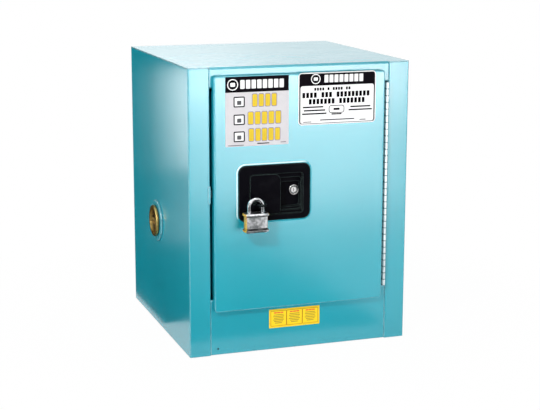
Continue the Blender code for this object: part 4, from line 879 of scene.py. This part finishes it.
def buildLockTrim(trim):
    low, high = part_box("lock_barrel")
    x, z, face = (low.x + high.x) / 2, (low.z + high.z) / 2, low.y
    bm = bmesh.new()
    place = Matrix.Translation((x + trim["beadPath"], face + trim["bead"] * trim["beadSunkShare"], z))
    bead = bmesh.ops.create_circle(
        bm, cap_ends=False, segments=trim["beadSides"], radius=trim["bead"], matrix=place)["verts"]
    ring = {edge for vert in bead for edge in vert.link_edges}
    bmesh.ops.spin(
        bm, geom=bead + list(ring), cent=(x, face, z), axis=(0, 1, 0), angle=math.tau,
        steps=trim["beadSteps"], use_merge=True)
    addPiece("lockBead", bm, "chrome", "door", trim["beadSmooth"])
    bm = bmesh.new()
    wide = 2 * trim["groove"]
    tile = (x, z, wide, wide, trim["groove"] * discShare, trim["land"])
    addTile(bm, tile, face - trim["proud"], face + trim["proud"])
    addPiece("lockShadeRing", bm, "blackEnamel", "door", trim["grooveSmooth"])


buildLockTrim(lockTrim)


# A black disc low on the left of the sill: painted shade for a small open rivet hole
holeShade = {"x": -161.5 * mm, "z": 12.0 * mm, "radius": 1.8 * mm, "proud": 0.1 * mm, "smooth": 40}


def buildHoleShade(hole):
    wide = 2 * hole["radius"]
    bm = bmesh.new()
    tile = (hole["x"], hole["z"], wide, wide, hole["radius"] * discShare)
    addTile(bm, tile, sillFace - hole["proud"], sillFace + hole["proud"])
    addPiece("holeShade", bm, "blackEnamel", "cabinet", hole["smooth"])


buildHoleShade(holeShade)
print("small trim built")


studio = {
    "floorSize": 12.0, "floorLift": -0.02 * mm, "floorWhite": 0.90, "floorGlow": 0.98,
    "fade": (0.42, 0.35), "world": 0.09, "aim": (0, -0.1, 0.27),
}

# Each lamp: place, width and height in metres, watts
lamps = {
    "keyLamp": ((-0.85, -1.05, 1.05), (0.12, 0.12), 11.5),
    "frontPanel": ((0.42, -1.45, 0.20), (0.74, 0.40), 3.7),
    "headPanel": ((0.42, -1.44, 0.40), (0.74, 0.14), 4.2),
    "sideHigh": ((-0.46, 0.45, 0.345), (0.17, 0.24), 0.42),
    "sideLow": ((-0.46, 0.45, 0.14), (0.17, 0.18), 0.06),
    "leftPanel": ((-2.5, 0.1, 0.8), (1.0, 1.0), 13.0),
    "leftEdge": ((-1.25, -1.30, 0.16), (0.30, 0.30), 2.2),
    "upperEdge": ((0.35, -1.45, 1.70), (0.60, 0.50), 3.6),
    "roofPanel": ((0.45, 1.60, 0.86), (1.4, 0.5), 1.0),
    "topPanel": ((0.1, 0.0, 2.0), (1.2, 1.2), 5.0),
    "rightPanel": ((2.5, 0.3, 0.9), (1.2, 1.2), 17.0),
    "backPanel": ((0.2, 2.4, 2.0), (1.2, 1.2), 24.0),
}

# The front panels make the paint's sheen; the latch's and the padlock's pieces are kept
# out of them, so that they don't go grey or white
latchPieces = (
    "latch_dish", "latch_paddle", "hasp_staple", "lock_barrel", "key_plug", "padlock_body",
    "padlock_shackle", "padlockRivets", "lockBead", "lockShadeRing",
)
ventPieces = ("vent_plug_left", "vent_screen_left")
lampSkips = {
    "frontPanel": latchPieces, "headPanel": latchPieces, "sideHigh": ventPieces, "sideLow": ventPieces,
}

# Black cards, each a strip of points (y, z) between two x, that show in the gloss only
cards = {
    "sideCard": ((-0.60, -0.225), ((0.01, 0.001), (0.50, 0.001), (0.50, 1.3))),
    "frontCard": ((-0.9, 0.21), ((-2.4, 0.001), (-0.30, 0.001))),
}


def buildFloor(look):
    graph = newGraph("studioFloor")
    spread = graph.add("ShaderNodeVectorMath", {"operation": "LENGTH"}, [graph.place()]).out("Value")
    glowing = look["floorGlow"] + spread.above(*look["fade"]) * (1 - look["floorGlow"])
    plain = graph.add("ShaderNodeBsdfDiffuse", None, {"Color": grey(look["floorWhite"])}).out()
    glow = graph.add("ShaderNodeEmission", None, {"Color": grey(1.0), "Strength": 1.0}).out()
    mixed = graph.add("ShaderNodeMixShader", None, [graph.seenRays() * glowing, plain, glow]).out()
    bm = bmesh.new()
    bmesh.ops.create_grid(bm, x_segments=1, y_segments=1, size=look["floorSize"] / 2)
    bmesh.ops.translate(bm, verts=bm.verts, vec=(0, 0, look["floorLift"]))
    addMesh("studioFloor", bm, graph.show(mixed))


def buildCard(name, across, strip):
    graph = newGraph(name)
    black = graph.add("ShaderNodeBsdfDiffuse", None, {"Color": grey(0.0)}).out()
    bm = bmesh.new()
    near = [bm.verts.new((x, *strip[0])) for x in across]
    edges = [bm.edges.new(near)]
    for (y, z), (nextY, nextZ) in zip(strip, strip[1:]):
        made = bmesh.ops.extrude_edge_only(bm, edges=edges)["geom"]
        edges = [item for item in made if isinstance(item, bmesh.types.BMEdge)]
        bmesh.ops.translate(bm, verts=newVerts(made), vec=(0, nextY - y, nextZ - z))
    card = addMesh(name, bm, graph.show(black))
    card.visible_camera = card.visible_diffuse = card.visible_shadow = False


def buildWorld(look):
    world = bpy.data.worlds.new("studioWorld")
    bpy.context.scene.world = world
    graph = Graph(world, "ShaderNodeOutputWorld")
    fill = graph.add("ShaderNodeBackground", None, {"Color": grey(1.0), "Strength": look["world"]}).out()
    white = graph.add("ShaderNodeBackground", None, {"Color": grey(1.0), "Strength": 1.0}).out()
    graph.show(graph.add("ShaderNodeMixShader", None, [graph.seenRays(), fill, white]).out())


def addLamp(name, place, size, power, aim):
    data = bpy.data.lights.new(name, "AREA")
    data.shape = "RECTANGLE"
    data.size, data.size_y = size
    data.energy = power
    lamp = bpy.data.objects.new(name, data)
    lamp.location = place
    lamp.rotation_euler = (Vector(aim) - Vector(place)).to_track_quat("-Z", "Y").to_euler()
    lamp.visible_camera = False
    bpy.context.collection.objects.link(lamp)
    return lamp


def skipPieces(lamp, names):
    skipped = bpy.data.collections.new(lamp.name + "Skips")
    for name in names:
        skipped.objects.link(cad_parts.get(name) or bpy.data.objects[name])
    for member in skipped.collection_objects:
        member.light_linking.link_state = "EXCLUDE"
    lamp.light_linking.receiver_collection = skipped


# Place in metres, turn in degrees, focal length in pixels of this picture, the rest as Blender has them
cameraView = {
    "place": (-0.8631, -2.5434, 0.8063), "turn": (77.955, -0.120, -19.012),
    "focal": 1357.5, "pictureWidth": 540.0, "sensor": 36.0, "nearest": 0.05, "farthest": 50.0,
}


def buildCamera(view):
    data = bpy.data.cameras.new("camera")
    data.sensor_width = view["sensor"]
    data.lens = view["focal"] * view["sensor"] / view["pictureWidth"]
    data.clip_start, data.clip_end = view["nearest"], view["farthest"]
    camera = bpy.data.objects.new("camera", data)
    camera.location = view["place"]
    camera.rotation_euler = [math.radians(angle) for angle in view["turn"]]
    bpy.context.collection.objects.link(camera)
    bpy.context.scene.camera = camera


buildFloor(studio)
for cardName, (across, strip) in cards.items():
    buildCard(cardName, across, strip)
buildWorld(studio)
for lampName, (lampPlace, lampSize, watts) in lamps.items():
    lamp = addLamp(lampName, lampPlace, lampSize, watts, studio["aim"])
    if lampName in lampSkips:
        skipPieces(lamp, lampSkips[lampName])
buildCamera(cameraView)
bpy.context.scene.view_settings.view_transform = "Standard"
print("studio set")
